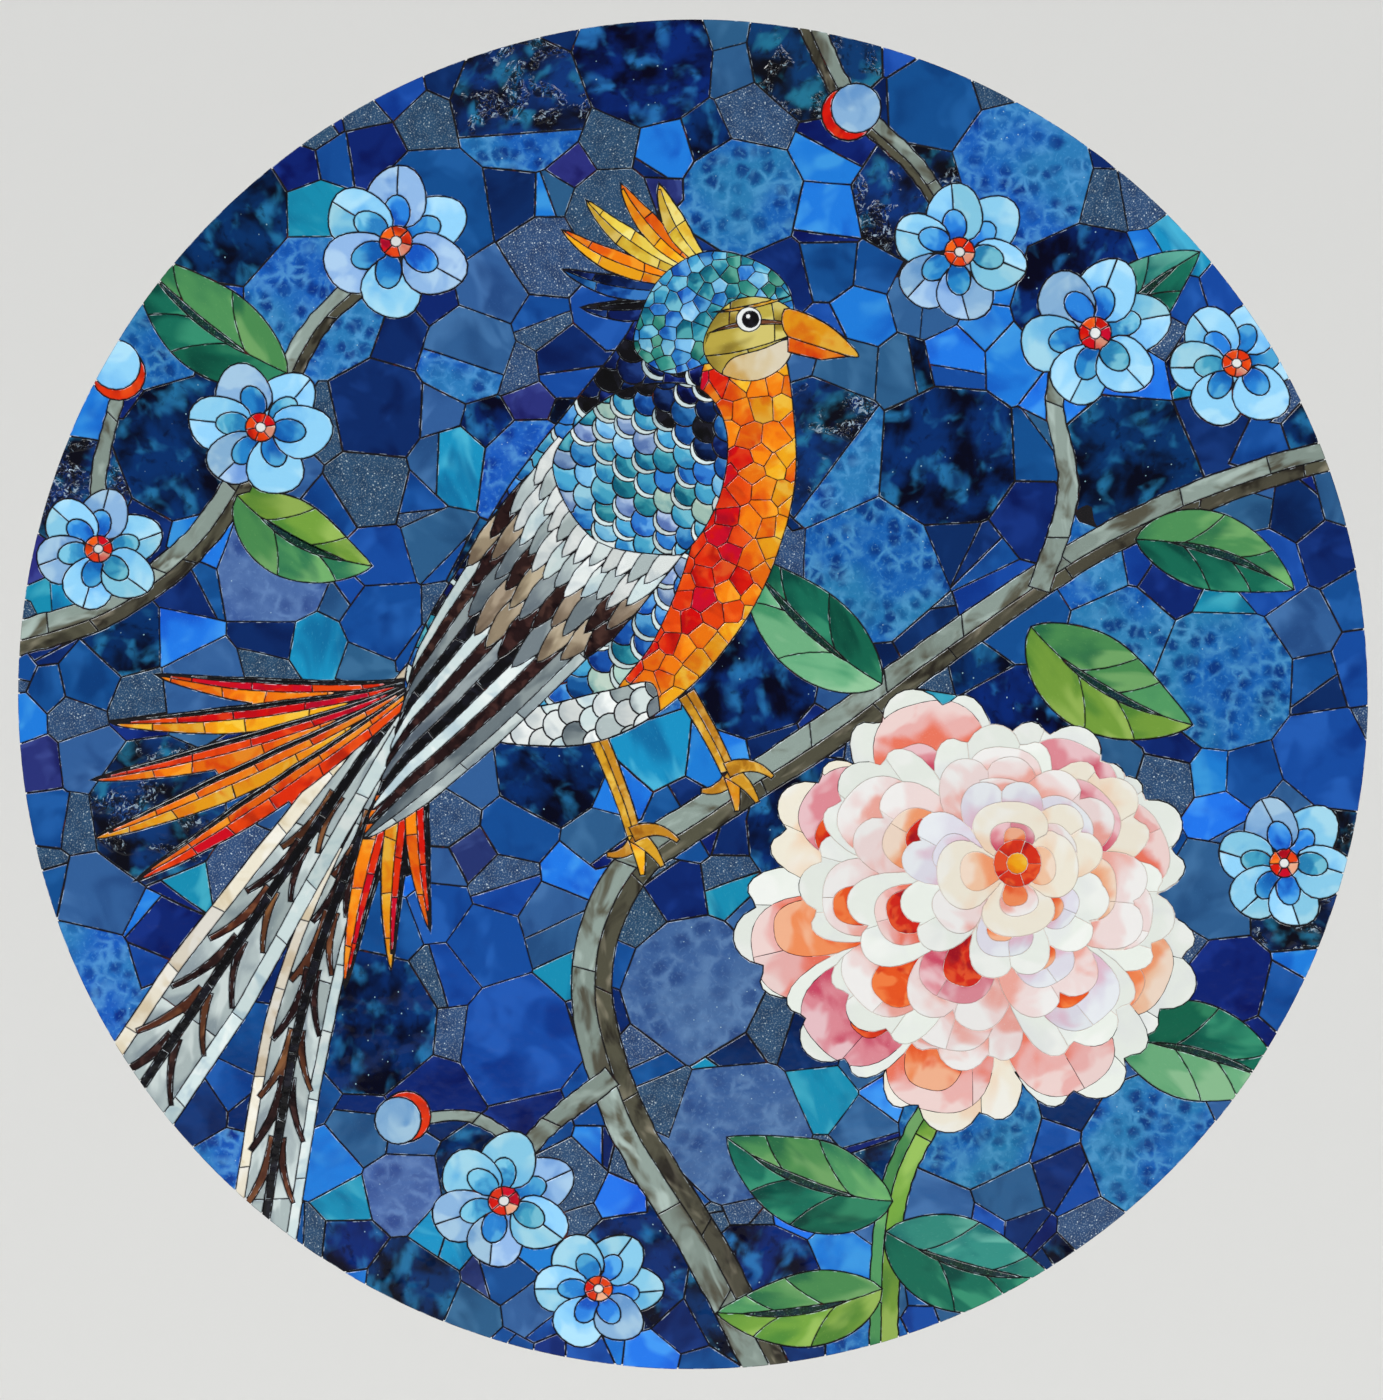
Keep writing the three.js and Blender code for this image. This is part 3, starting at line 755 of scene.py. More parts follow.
FLIGHT_FEATHERS = 11
half = quill(13.8, 0.8, 1, 5, 0.55)
for i in range(FLIGHT_FEATHERS):
    q = i / (FLIGHT_FEATHERS - 1)
    line = bow(wing(104 + 22 * math.sin(math.pi * q), -40 + 82 * q), wing(232 + 84 * q, -22 + 34 * q),
               -0.05 + 0.10 * q)
    feather = plan.lay("wing_flight_feathers", ("silver", "black")[i % 2], blade(line, half), joint=0.5)
    plan.score_across(feather, line, 9, 44)
    vane = ("ice", "plum_black", "silver_dark", None)[i % 4]
    if vane:
        plan.lay("wing_flight_feathers", vane, between(line, lambda t: half(t) * 0.12, half), clip=feather,
                 joint=0.5)

for start, sag, length, width, count, glasses in (
        (106, 30, 46, 12.5, 10, ("tan", "plum_black", "silver_dark", "tan")),
        (88, 26, 42, 11, 11, ("plum_black", "tan", "silver_dark")),
        (72, 22, 38, 10.5, 12, ("silver", "white", "ice")),
        (58, 18, 34, 10.5, 12, ("white", "silver", "white"))):
    half = quill(width, 0.7, 0.6, 2.4, 0.6)
    for i in range(count):
        q = i / (count - 1)
        across, along = -46 + 94 * q, start + sag * math.sin(math.pi * q)
        line = bow(wing(along, across), wing(along + length * rng(0.92, 1.08), across * 0.93),
                   rng(-0.06, 0.06), 2.5)
        plan.lay("wing_coverts", glasses[i % len(glasses)], blade(line, half), joint=0.5, least=6)

lesser = plan.lay("wing_shoulder", "scale_sky", spline(
    [wing(*at) for at in ((-16, -6), (-8, 24), (24, 46), (58, 52), (72, 44), (92, 4), (76, -40), (44, -46),
                          (10, -36))], True), joint=0.6)


def shoulder_glass(at, row):
    if row > 3:
        return weighted("scale_sky 4, scale_mid 4, sky 2, scale_teal 3, scale_lilac 2, scale_mint 1")
    return weighted("scale_navy 1, black 1, scale_blue 1")


lay_scales("wing_shoulder", lesser, wing(-20, 0), math.atan2(WING_RUN[1], WING_RUN[0]), 14, 4, 15.5,
           shoulder_glass, crest=0.5)

for degrees, length, upper, lower in ((186, 66, "scale_navy", "black"), (172, 78, "scale_blue", "scale_navy"),
                                      (159, 84, "amber", "orange"), (146, 80, "gold", "yellow"),
                                      (133, 70, "amber", "orange"), (120, 56, "gold", "yellow")):
    angle = math.radians(degrees)
    root = (16 + 16 * math.cos(angle), 238 + 18 * math.sin(angle))
    lay_plume("bird_crest", root, add(root, unit(angle), length), 0.14, 13, upper, lower, every=30,
              under=lower)

head = plan.lay("bird_head", "scale_teal", spline(
    [(60, 222), (54, 244), (34, 258), (8, 262), (-16, 250), (-30, 228), (-34, 204), (-14, 190), (10, 196),
     (34, 196), (54, 204)], True), joint=0.6)
lay_cobbles("bird_head", head, (-36, 186), (62, 264), 8.0,
            lambda at: weighted("scale_sky 1, sky 1, scale_teal 1, scale_mid 1, sea_green 1"), turn=0.4,
            along=1.15, jitter=0.34)
cheek = plan.lay("bird_face", "olive", spline(
    [(60, 224), (46, 234), (26, 234), (12, 222), (6, 204), (16, 190), (38, 186), (56, 198)], True),
    joint=0.6, least=6)
for start, end, bend in (((60, 214), (4, 200), 0.1), ((30, 212), (34, 184), 0.1),
                         ((24, 240), (22, 206), -0.1), ((44, 240), (48, 208), 0.1)):
    plan.score(cheek, bow(start, end, bend))
plan.lay("bird_face", "bronze", bow((60, 219), (10, 214), -0.08, 4) + bow((10, 214), (60, 219), 0.2, 4)[1:-1],
         clip=cheek, joint=0.5, least=5)
plan.lay("bird_face", "honey",
         spline([(58, 210), (40, 204), (22, 198), (18, 186), (38, 182), (58, 192)], True),
         clip=cheek, joint=0.5, least=6)
plan.lay("bird_face", "ochre", bow((58, 236), (10, 226), 0.1, 4) + bow((10, 226), (58, 236), -0.02, 4)[1:-1],
         joint=0.5, least=5)
plan.lay("bird_beak", "amber",
         spline([(54, 228), (70, 224), (86, 214), (98, 200), (80, 204), (56, 212)], True, 4),
         joint=0.6, least=6)
plan.lay("bird_beak", "orange", [(56, 212), (80, 204), (92, 200), (76, 198), (56, 203)],
         joint=0.6, least=6)
plan.lay("bird_face", "chalk", oval((33, 222), 7.4), joint=0.5, least=4)
plan.lay("bird_face", "black", oval((34, 222), 4.9, 18), joint=0.3, least=4)
plan.lay("bird_face", "chalk", oval((32.6, 223.8), 1.5, 10), joint=0.2, least=1.5)

lay_flower("flower", (168, -128), 142)


# ---------------------------------------------------------------- glass recipes

LINEAR = 2.2


def paint(*rgb):
    """A colour from 0 to 255 as the eye sees it, for a shader socket."""
    return (*[(c / 255) ** LINEAR for c in rgb], 1.0)


class Sheet:
    """A node group for one way of making sheet glass; what it puts out changes over the surface."""

    def __init__(self, name, inputs):
        self.tree = bpy.data.node_groups.new(name, "ShaderNodeTree")
        for label, value in inputs.items():
            kind = "NodeSocketColor" if isinstance(value, tuple) else "NodeSocketFloat"
            self.tree.interface.new_socket(label, in_out="INPUT", socket_type=kind).default_value = value
        for label in ("Color", "Roughness", "Height"):
            kind = "NodeSocketColor" if label == "Color" else "NodeSocketFloat"
            self.tree.interface.new_socket(label, in_out="OUTPUT", socket_type=kind)
        self.given = self.tree.nodes.new("NodeGroupInput").outputs
        self.result = self.tree.nodes.new("NodeGroupOutput").inputs

    def node(self, kind, sockets=None, **settings):
        made = self.tree.nodes.new("ShaderNode" + kind)
        for key, value in settings.items():
            setattr(made, key, value)
        for key, value in (sockets or {}).items():
            if isinstance(value, bpy.types.NodeSocket):
                self.tree.links.new(value, made.inputs[key])
            else:
                made.inputs[key].default_value = value
        return made

    def math(self, how, a, b=0.0, c=0.0):
        return self.node("Math", {0: a, 1: b, 2: c}, operation=how).outputs[0]

    def vector(self, how, a, b, c=(0.0, 0.0, 0.0)):
        return self.node("VectorMath", {0: a, 1: b, 2: c}, operation=how).outputs[0]

    def blend(self, share, a, b, how="MIX"):
        return self.node("Mix", {0: share, 6: a, 7: b}, data_type="RGBA", blend_type=how).outputs[2]

    def ramp(self, value, low, high, start=0.0, end=1.0):
        return self.node("MapRange", {"Value": value, 1: low, 2: high, 3: start, 4: end},
                         interpolation_type="SMOOTHSTEP").outputs[0]

    def mark(self, name):
        return self.node("Attribute", attribute_name=name).outputs["Fac"]

    def sheet_place(self, stretch=1.0, shift=0.0):
        """Where a tile lay on its sheet, in millimetres; stretch draws the pattern out along the sheet."""
        uv = self.node("UVMap", uv_map="sheet").outputs[0]
        return self.node("Mapping", {"Vector": uv, "Location": (shift, shift / 3, 0),
                                     "Scale": (1.0, 1.0 / stretch, 1.0)}).outputs[0]

    def tile_place(self):
        """Where a point is on its own tile: across it, and from its foot at -1 to its tip at 1."""
        return self.node("SeparateXYZ", {0: self.node("UVMap", uv_map="tile").outputs[0]}).outputs

    def noise(self, place, size, detail=2.0, rough=0.5, warp=0.0):
        scale = self.math("DIVIDE", 1.0, size) if isinstance(size, bpy.types.NodeSocket) else 1.0 / size
        return self.node("TexNoise", {"Vector": place, "Scale": scale, "Detail": detail, "Roughness": rough,
                                      "Distortion": warp}).outputs["Fac"]

    def stray(self, place, size, far):
        """The place, moved about by up to far over lengths of about size."""
        drift = self.node("TexNoise", {"Vector": place, "Scale": 1.0 / size, "Detail": 3.0}).outputs["Color"]
        return self.vector("MULTIPLY_ADD", drift, (far, far, 0.0), place)

    def sparks(self, place, apart, share, size=0.06):
        """Seed bubbles and glints: small bright dots, some of them missing."""
        grains = self.node("TexVoronoi", {"Vector": place, "Scale": 1.0 / apart}, feature="F1").outputs
        pick = self.node("SeparateColor", {0: grains["Color"]}).outputs[0]
        return self.math("MULTIPLY", self.ramp(pick, 0.98 - share, 1.0 - share),
                         self.ramp(grains["Distance"], size, size + 0.10, 1.0, 0.0))

    def give(self, *sources):
        """Put out the colour, the roughness and the height, and hand over the finished group."""
        for label, source in zip(("Color", "Roughness", "Height"), sources):
            self.tree.links.new(source, self.result[label])
        return self.tree

    def tile(self, color, lift=0.28):
        """Each tile is a bit lighter or darker than the next; its cut edge gets painted shade and pale
        painted glints.
        """
        tone = self.mark("tone")
        value = self.ramp(tone, 0.0, 1.0, 1 - lift / 2, 1 + lift / 2)
        hue = self.math("MULTIPLY_ADD", tone, 0.020, 0.490)
        toned = self.node("HueSaturation", {"Hue": hue, "Value": value, "Color": color}).outputs[0]
        # painted glints: pale flecks where this noise is high, shown on the cut edge only
        glint_spots = self.noise(self.sheet_place(), 7.0, 3.0, 0.6)
        painted_glint = self.blend(self.ramp(glint_spots, 0.50, 0.66, 0.0, 0.55), paint(0, 0, 0), paint(200, 216, 226))
        # painted shade: the cut edge is darkened as if shaded in the joint, and the painted glints are added
        # on top
        ground = self.blend(1.0, self.blend(1.0, toned, (0.62, 0.62, 0.64, 1), "MULTIPLY"), painted_glint, "ADD")
        return self.blend(self.mark("rim"), toned, ground)

    def polish(self, smooth, dull):
        """Roughness: the pressed face is smooth, the cut edge and a stray film of grout are dull."""
        film = self.ramp(self.noise(self.sheet_place(), 14.0, 4.0), 0.52, 0.75, smooth, smooth + 0.10)
        return self.math("MAXIMUM", film, self.math("MULTIPLY", self.mark("rim"), dull))


def cloudy_sheet():
    s = Sheet("cloudy glass", {"Body": paint(90, 90, 90), "Veil": paint(120, 120, 120),
                               "Shade": paint(60, 60, 60), "Size": 18.0, "Streak": 1.0, "Fade": 0.3})
    uv = s.node("UVMap", uv_map="sheet").outputs[0]
    drawn = s.node("CombineXYZ", {0: 1.0, 1: s.math("DIVIDE", 1.0, s.given["Streak"]), 2: 1.0}).outputs[0]
    place = s.vector("MULTIPLY", uv, drawn)
    soft = s.noise(place, s.given["Size"], 2.0, 0.45, 0.6)
    far = s.vector("ADD", place, (431.0, 127.0, 0.0))
    foot = s.math("MULTIPLY_ADD", s.tile_place()[1], -0.17, soft)
    mixed = s.math("MULTIPLY_ADD", s.math("SUBTRACT", foot, soft), s.given["Fade"], soft)
    color = s.blend(s.ramp(mixed, 0.50, 0.34), s.given["Body"], s.given["Veil"])
    dark = s.math("MULTIPLY_ADD", s.math("SUBTRACT", foot, soft), s.given["Fade"],
                  s.noise(far, s.given["Size"], 2.0, 0.5, 0.5))
    color = s.blend(s.ramp(dark, 0.48, 0.72), color, s.given["Shade"])
    color = s.blend(s.ramp(s.noise(place, 1.1, 1.0), 0.60, 0.80, 0.0, 0.22), color, s.given["Veil"])
    waves = s.math("MULTIPLY_ADD", s.noise(place, 1.6, 2.0), 0.14, s.noise(place, 7.0, 1.0))
    return s.give(s.tile(color), s.polish(0.09, 0.2), waves)


def mottled_sheet():
    s = Sheet("mottled glass", {"Body": paint(28, 98, 186), "Blotch": paint(12, 48, 124),
                                "Web": paint(92, 166, 220), "Tint": paint(50, 134, 182), "Size": 9.5})
    place = s.sheet_place()
    bent = s.stray(place, 6.0, 6.0)
    scale = s.math("DIVIDE", 1.0, s.given["Size"])
    color = s.blend(s.ramp(s.noise(place, 55.0, 1.0), 0.42, 0.62, 0.0, 0.7), s.given["Body"], s.given["Tint"])
    cell = s.node("TexVoronoi", {"Vector": bent, "Scale": scale}, feature="F1").outputs
    some = s.node("SeparateColor", {0: cell["Color"]}).outputs[0]
    patch = s.math("MULTIPLY", s.ramp(s.noise(place, 34.0, 2.0), 0.34, 0.56, 0.22, 0.86),
                   s.ramp(some, 0.0, 0.35, 0.3, 1.0))
    color = s.blend(s.math("MULTIPLY", s.ramp(cell["Distance"], 0.20, 0.62, 1.0, 0.0), patch), color,
                    s.given["Blotch"])
    edge = s.node("TexVoronoi", {"Vector": bent, "Scale": scale}, feature="DISTANCE_TO_EDGE").outputs[0]
    net = s.math("MULTIPLY", s.ramp(edge, 0.22, 0.0),
                 s.ramp(s.noise(place, 15.0, 2.0), 0.40, 0.64, 0.05, 0.62))
    color = s.blend(net, color, s.given["Web"])
    color = s.blend(s.ramp(s.noise(bent, 2.2, 2.0), 0.52, 0.74, 0.0, 0.35), color, s.given["Web"])
    color = s.blend(s.sparks(place, 3.2, 0.10), color, paint(170, 204, 220))
    return s.give(s.tile(color, 0.24), s.polish(0.08, 0.2), s.noise(place, 6.0, 2.0))


def deep_colors(s, place, cloud):
    """Near-black water with soft glows deep in it."""
    body = s.ramp(s.noise(place, 24.0, 3.0, 0.5, 0.3), 0.36, 0.62)
    glow = s.ramp(s.noise(cloud, 15.0, 2.5, 0.5, 0.3), 0.50, 0.72, 0.0, 0.85)
    dark = s.ramp(s.noise(cloud, 6.5, 3.0, 0.6, 0.4), 0.52, 0.72, 0.0, 0.60)
    color = s.blend(glow, s.blend(body, s.given["Depth"], s.given["Body"]), s.given["Glow"])
    return s.blend(dark, color, s.given["Depth"])


def deep_sheet():
    s = Sheet("deep water glass", {"Depth": paint(2, 8, 32), "Body": paint(12, 50, 112),
                                   "Glow": paint(44, 124, 184)})
    place = s.sheet_place(1.2)
    color = deep_colors(s, place, s.sheet_place(1.3, 60.0))
    color = s.blend(s.sparks(place, 3.4, 0.10), color, paint(150, 190, 208))
    return s.give(s.tile(color, 0.2), s.polish(0.05, 0.2), s.noise(place, 9.0, 1.0))


def rippled_sheet():
    s = Sheet("rippled glass", {"Depth": paint(2, 6, 24), "Body": paint(14, 58, 118),
                                "Glow": paint(42, 128, 168), "Foam": paint(150, 172, 188)})
    place = s.sheet_place(1.2)
    color = deep_colors(s, place, s.sheet_place(1.3, 60.0))
    crinkle = s.noise(s.stray(place, 5.0, 6.0), 3.2, 1.0, 0.5, 1.4)
    side = s.math("MULTIPLY_ADD", s.tile_place()[1], 0.08, s.noise(place, 20.0, 2.0, 0.5, 0.8))
    patch = s.ramp(side, 0.50, 0.60)
    # painted shade: near-black in the troughs of the ripples
    color = s.blend(s.math("MULTIPLY", patch, s.ramp(crinkle, 0.56, 0.44, 0.0, 0.85)), color, paint(5, 7, 16))
    # painted highlight: pale on the crests of the ripples
    color = s.blend(s.math("MULTIPLY", patch, s.ramp(crinkle, 0.60, 0.70)), color, s.given["Foam"])
    return s.give(s.tile(color, 0.2), s.polish(0.07, 0.2), s.math("MULTIPLY", patch, crinkle))


def glitter_sheet():
    s = Sheet("glitter glass", {"Body": paint(50, 82, 120), "Fleck": paint(188, 206, 218)})
    place = s.sheet_place()
    cloud = s.ramp(s.noise(place, 9.0, 3.0), 0.40, 0.66, 0.0, 0.45)
    color = s.blend(cloud, s.given["Body"], paint(24, 44, 78))
    color = s.blend(s.ramp(s.noise(place, 0.9, 1.0), 0.52, 0.70, 0.0, 0.34), color, s.given["Fleck"])
    color = s.blend(s.sparks(place, 1.9, 0.38, 0.16), color, s.given["Fleck"])
    return s.give(s.tile(color), s.polish(0.12, 0.2), s.noise(place, 3.0, 2.0))


def bark_sheet():
    s = Sheet("marbled bark glass", {"Body": paint(142, 158, 150), "Vein": paint(92, 90, 76),
                                     "Gleam": paint(172, 190, 182)})
    place = s.sheet_place(2.0)
    swirl = s.noise(place, 15.0, 3.0, 0.5, 0.7)
    color = s.blend(s.ramp(swirl, 0.46, 0.66), s.given["Body"], s.given["Vein"])
    color = s.blend(s.ramp(s.noise(s.sheet_place(3.0, 50.0), 10.0, 2.0, 0.5, 0.7), 0.52, 0.74), color,
                    s.given["Gleam"])
    return s.give(s.tile(color), s.polish(0.12, 0.22), s.noise(place, 4.0, 3.0))


SHEETS = {"cloudy": cloudy_sheet(), "mottled": mottled_sheet(), "deep": deep_sheet(),
          "rippled": rippled_sheet(), "glitter": glitter_sheet(), "bark": bark_sheet()}


def glass(name, kind, shine, height, **values):
    """A glass from one of the sheets. shine is how strongly it mirrors, height its waves in millimetres."""
    mat = bpy.data.materials.new(name.replace("_", " ") + " glass")
    mat.use_nodes = True
    nodes, links = mat.node_tree.nodes, mat.node_tree.links
    shader = nodes["Principled BSDF"]
    shader.inputs["Specular IOR Level"].default_value = shine
    sheet = nodes.new("ShaderNodeGroup")
    sheet.node_tree = SHEETS[kind]
    for label, value in values.items():
        sheet.inputs[label].default_value = paint(*value) if isinstance(value, tuple) else value
    bump = nodes.new("ShaderNodeBump")
    bump.inputs["Strength"].default_value = 1.0
    bump.inputs["Distance"].default_value = height * MM
    links.new(sheet.outputs["Color"], shader.inputs["Base Color"])
    links.new(sheet.outputs["Roughness"], shader.inputs["Roughness"])
    links.new(sheet.outputs["Height"], bump.inputs["Height"])
    links.new(bump.outputs["Normal"], shader.inputs["Normal"])
    return mat


def cloudy(name, body, veil, shade, size, streak=1, fade=0.3, shine=0.2):
    """A glass of three tones in clouds of a size in millimetres, drawn out along the sheet by streak.
    fade is how much a tile changes from its foot to its tip."""
    return glass(name, "cloudy", shine, 0.2, Body=body, Veil=veil, Shade=shade, Size=size, Streak=streak,
                 Fade=fade)


CLOUDY = {                         # body, veil, shade, size, streak, fade, shine
    "cobalt": ((26, 80, 158), (38, 96, 178), (18, 62, 134), 30),
    "navy": ((18, 46, 108), (26, 58, 128), (12, 32, 86), 26),
    "slate": ((52, 98, 150), (68, 116, 168), (40, 80, 130), 24, 1.5),
    "azure": ((38, 128, 234), (66, 158, 244), (28, 100, 210), 30),
    "teal": ((30, 148, 192), (72, 182, 214), (22, 112, 158), 18, 2.5),
    "violet": ((46, 56, 122), (60, 74, 142), (32, 38, 96), 18),
    "petal_white": ((240, 246, 238), (248, 251, 246), (234, 238, 236), 34, 1, 0.4),
    "petal_cream": ((247, 240, 222), (249, 247, 238), (247, 218, 190), 28, 1, 0.8),
    "petal_blush": ((243, 222, 220), (246, 244, 242), (240, 168, 156), 26, 1, 1.4),
    "petal_pink": ((240, 180, 176), (245, 216, 212), (240, 118, 96), 24, 1, 1.5),
    "petal_rose": ((226, 140, 152), (238, 196, 202), (206, 76, 104), 22, 1, 1.0),
    "petal_lilac": ((228, 226, 238), (238, 242, 247), (228, 190, 208), 26, 1, 1.2),
    "petal_coral": ((246, 142, 92), (248, 180, 144), (238, 92, 48), 22, 1, 1.2),
    "petal_flame": ((238, 88, 40), (250, 128, 70), (210, 46, 30), 12, 1, 1.0),
    "petal_red": ((218, 52, 34), (238, 92, 50), (164, 26, 34), 10, 1, 0.8),
    "petal_peach": ((246, 198, 164), (248, 224, 204), (246, 156, 110), 24, 1, 1.3),
    "petal_sky": ((146, 216, 252), (174, 230, 254), (112, 192, 246), 24, 1, 0.8),
    "petal_powder": ((144, 188, 232), (172, 210, 240), (110, 160, 218), 20, 1, 0.8),
    "petal_blue": ((46, 136, 222), (88, 176, 236), (26, 94, 188), 14, 1.5, 1.2),
    "red": ((226, 40, 18), (240, 74, 30), (178, 20, 18), 16),
    "flame": ((240, 78, 26), (248, 112, 42), (216, 48, 22), 16),
    "salmon": ((236, 160, 130), (246, 190, 160), (226, 110, 90), 14),
    "chalk": ((240, 244, 242), (250, 250, 250), (226, 232, 232), 14),
    "lime": ((120, 164, 66), (154, 190, 92), (84, 138, 58), 20, 2.5, 1.0),
    "leaf_green": ((82, 150, 92), (118, 178, 110), (48, 116, 80), 20, 2.5, 1.0),
    "emerald": ((28, 108, 86), (56, 142, 108), (14, 72, 62), 18, 2.5, 1.0),
    "sea_green": ((54, 140, 126), (96, 174, 156), (28, 104, 104), 18, 2.5, 1.0),
    "mint": ((116, 186, 138), (150, 206, 160), (76, 156, 112), 20, 2.5, 1.0),
    "sky": ((126, 196, 236), (164, 220, 244), (88, 162, 216), 12, 1, 1.2),
    "scale_sky": ((78, 172, 214), (126, 204, 232), (46, 132, 190), 12, 1, 1.4),
    "scale_mid": ((52, 130, 206), (94, 168, 226), (28, 88, 170), 12, 1, 1.4),
    "scale_teal": ((44, 136, 160), (90, 178, 190), (20, 96, 128), 12, 1, 1.4),
    "scale_blue": ((30, 86, 166), (60, 124, 198), (16, 54, 122), 12, 1, 1.4),
    "scale_navy": ((18, 34, 86), (36, 62, 128), (8, 16, 46), 12, 1, 1.2),
    "scale_lilac": ((130, 160, 204), (172, 196, 226), (88, 118, 174), 12, 1, 1.4),
    "scale_mint": ((176, 210, 198), (204, 226, 212), (128, 176, 176), 12, 1, 1.2),
    "ice": ((212, 230, 230), (232, 242, 240), (180, 204, 212), 16),
    "white": ((230, 236, 234), (244, 248, 246), (202, 212, 214), 16, 1, 0.8),
    "silver": ((176, 190, 190), (210, 222, 220), (138, 152, 158), 14, 2.5, 0.8),
    "silver_dark": ((118, 130, 136), (150, 162, 164), (86, 98, 108), 14, 2.5, 0.8),
    "cream": ((238, 230, 210), (246, 242, 230), (218, 202, 172), 16, 1, 0.8),
    "orange": ((247, 122, 22), (250, 150, 42), (232, 84, 20), 14, 1, 0.8),
    "amber": ((246, 168, 32), (248, 192, 66), (238, 132, 26), 14, 1, 0.8),
    "gold": ((222, 188, 66), (238, 212, 110), (200, 152, 42), 14, 1, 0.8),
    "yellow": ((238, 206, 84), (246, 226, 130), (228, 176, 52), 14, 1, 0.8),
    "black": ((14, 13, 18), (30, 30, 40), (7, 7, 10), 10, 1, 0.3, 0.4),
    "plum_black": ((46, 30, 30), (74, 50, 46), (24, 15, 18), 10),
    "bronze": ((92, 56, 40), (134, 88, 58), (56, 32, 26), 10, 2.0),
    "tan": ((150, 134, 112), (184, 168, 144), (114, 98, 82), 12, 2.5, 1.2),
    "ochre": ((212, 150, 44), (232, 182, 80), (172, 112, 30), 10),
    "olive": ((186, 164, 72), (212, 196, 112), (138, 118, 50), 20, 2.0, 1.4),
    "honey": ((240, 222, 172), (246, 236, 206), (226, 188, 104), 22, 1, 1.4),
}
GLASS = {name: cloudy(name, *recipe) for name, recipe in CLOUDY.items()}
for name, kind, shine, height, values in (
        ("mottled", "mottled", 0.22, 0.3, {}), ("deep_water", "deep", 0.22, 0.4, {}),
        ("rippled", "rippled", 0.35, 0.9, {}), ("glitter", "glitter", 0.35, 0.15, {}),
        ("haze", "mottled", 0.3, 0.3, {"Body": (62, 98, 156), "Blotch": (44, 74, 132), "Web": (104, 142, 190),
                                       "Tint": (80, 116, 166), "Size": 12.0}),
        ("bottle_green", "glitter", 0.35, 0.15, {"Body": (14, 48, 38), "Fleck": (82, 132, 104)}),
        ("bark_pale", "bark", 0.3, 0.3, {}),
        ("bark_dark", "bark", 0.3, 0.3, {"Body": (84, 82, 68), "Vein": (44, 40, 34),
                                         "Gleam": (136, 130, 112)})):
    GLASS[name] = glass(name, kind, shine, height, **values)


def mortar_sheet():
    s = Sheet("mortar grain", {"Body": paint(40, 36, 36), "Grit": paint(70, 62, 56),
                               "Stain": paint(90, 44, 34)})
    place = s.node("TexCoord").outputs["Object"]
    place = s.node("Mapping", {"Vector": place, "Scale": (1 / MM, 1 / MM, 1 / MM)}).outputs[0]
    grit = s.noise(place, 0.9, 3.0, 0.6)
    color = s.blend(s.ramp(grit, 0.45, 0.65), s.given["Body"], s.given["Grit"])
    color = s.blend(s.ramp(s.noise(place, 9.0, 3.0), 0.60, 0.72, 0.0, 0.8), color, s.given["Stain"])
    return s.give(color, s.ramp(grit, 0.3, 0.7, 0.75, 0.95), grit)


SHEETS["mortar"] = mortar_sheet()


def mortar(name, body, grit, stain):
    mat = glass(name, "mortar", 0.3, 0.3, Body=body, Grit=grit, Stain=stain)
    mat.name = name
    return mat


DARK_GROUT = mortar("dark grout", (16, 15, 20), (36, 32, 34), (88, 36, 28))
PALE_GROUT = mortar("pale grout", (232, 218, 208), (242, 234, 226), (222, 190, 174))
CEMENT_BOARD = mortar("cement board", (150, 150, 146), (168, 168, 162), (132, 130, 124))


# ---------------------------------------------------------------- cutting the tiles

WAVE, WAVE_LENGTH = 0.35, 22.0     # how far a hand-cut edge strays, and over what length
WOBBLE, LONG_EDGE = 0.10, 6.0      # how far each corner strays, and the longest edge without one
RIM_CALM = 10                      # edges stray less and less this near the panel's rim
NEAREST, NEAREST_CUT = 0.35, 0.2   # the least distance of two corners, before and after the cut
SPIKE = 0.985                      # the cosine of the sharpest corner that can be cut
CRUMB, PINHOLE = 0.6, 4            # the areas under which a bit of glass and a hole in it are dropped
RELIEF = {                         # waves in the face of a sheet: (length, height) pairs, then the mesh pitch
    "rippled": (((9.0, 0.30), (3.6, 0.14)), 1.5),
    "deep_water": (((15.0, 0.30), (6.0, 0.05)), 3.0),
    "mottled": (((13.0, 0.14),), 3.5),
}


def neat(loop, nearest=NEAREST):
    """The loop without doubled points and without spikes that turn back on themselves."""
    while len(loop) > 3:
        kept = []
        for i, p in enumerate(loop):
            a, b = kept[-1] if kept else loop[-1], loop[(i + 1) % len(loop)]
            near = math.dist(a, p) < nearest
            spike = False
            if not near and math.dist(p, b) > 1e-6:
                u = ((a[0] - p[0]) / math.dist(a, p), (a[1] - p[1]) / math.dist(a, p))
                v = ((b[0] - p[0]) / math.dist(b, p), (b[1] - p[1]) / math.dist(b, p))
                spike = u[0] * v[0] + u[1] * v[1] > SPIKE
            if not (near or spike):
                kept.append(p)
        if len(kept) == len(loop):
            break
        loop = kept
    return loop


def hand_cut(loop):
    """The loop with long edges parted, and bent the way its neighbours are, because they were cut to it."""
    out = []
    for a, b in zip(loop, loop[1:] + loop[:1]):
        parts = max(1, math.ceil(math.dist(a, b) / LONG_EDGE))
        out += [lerp(a, b, k / parts) for k in range(parts)]
    bent = []
    for x, y in out:
        calm = min(1.0, max(0.0, (RADIUS - math.hypot(x, y)) / RIM_CALM))
        stray = noise.noise_vector((x / WAVE_LENGTH, y / WAVE_LENGTH, 0.5)) * WAVE * calm
        wobble = WOBBLE * calm
        bent.append((x + stray.x + rng(-wobble, wobble), y + stray.y + rng(-wobble, wobble)))
    return bent


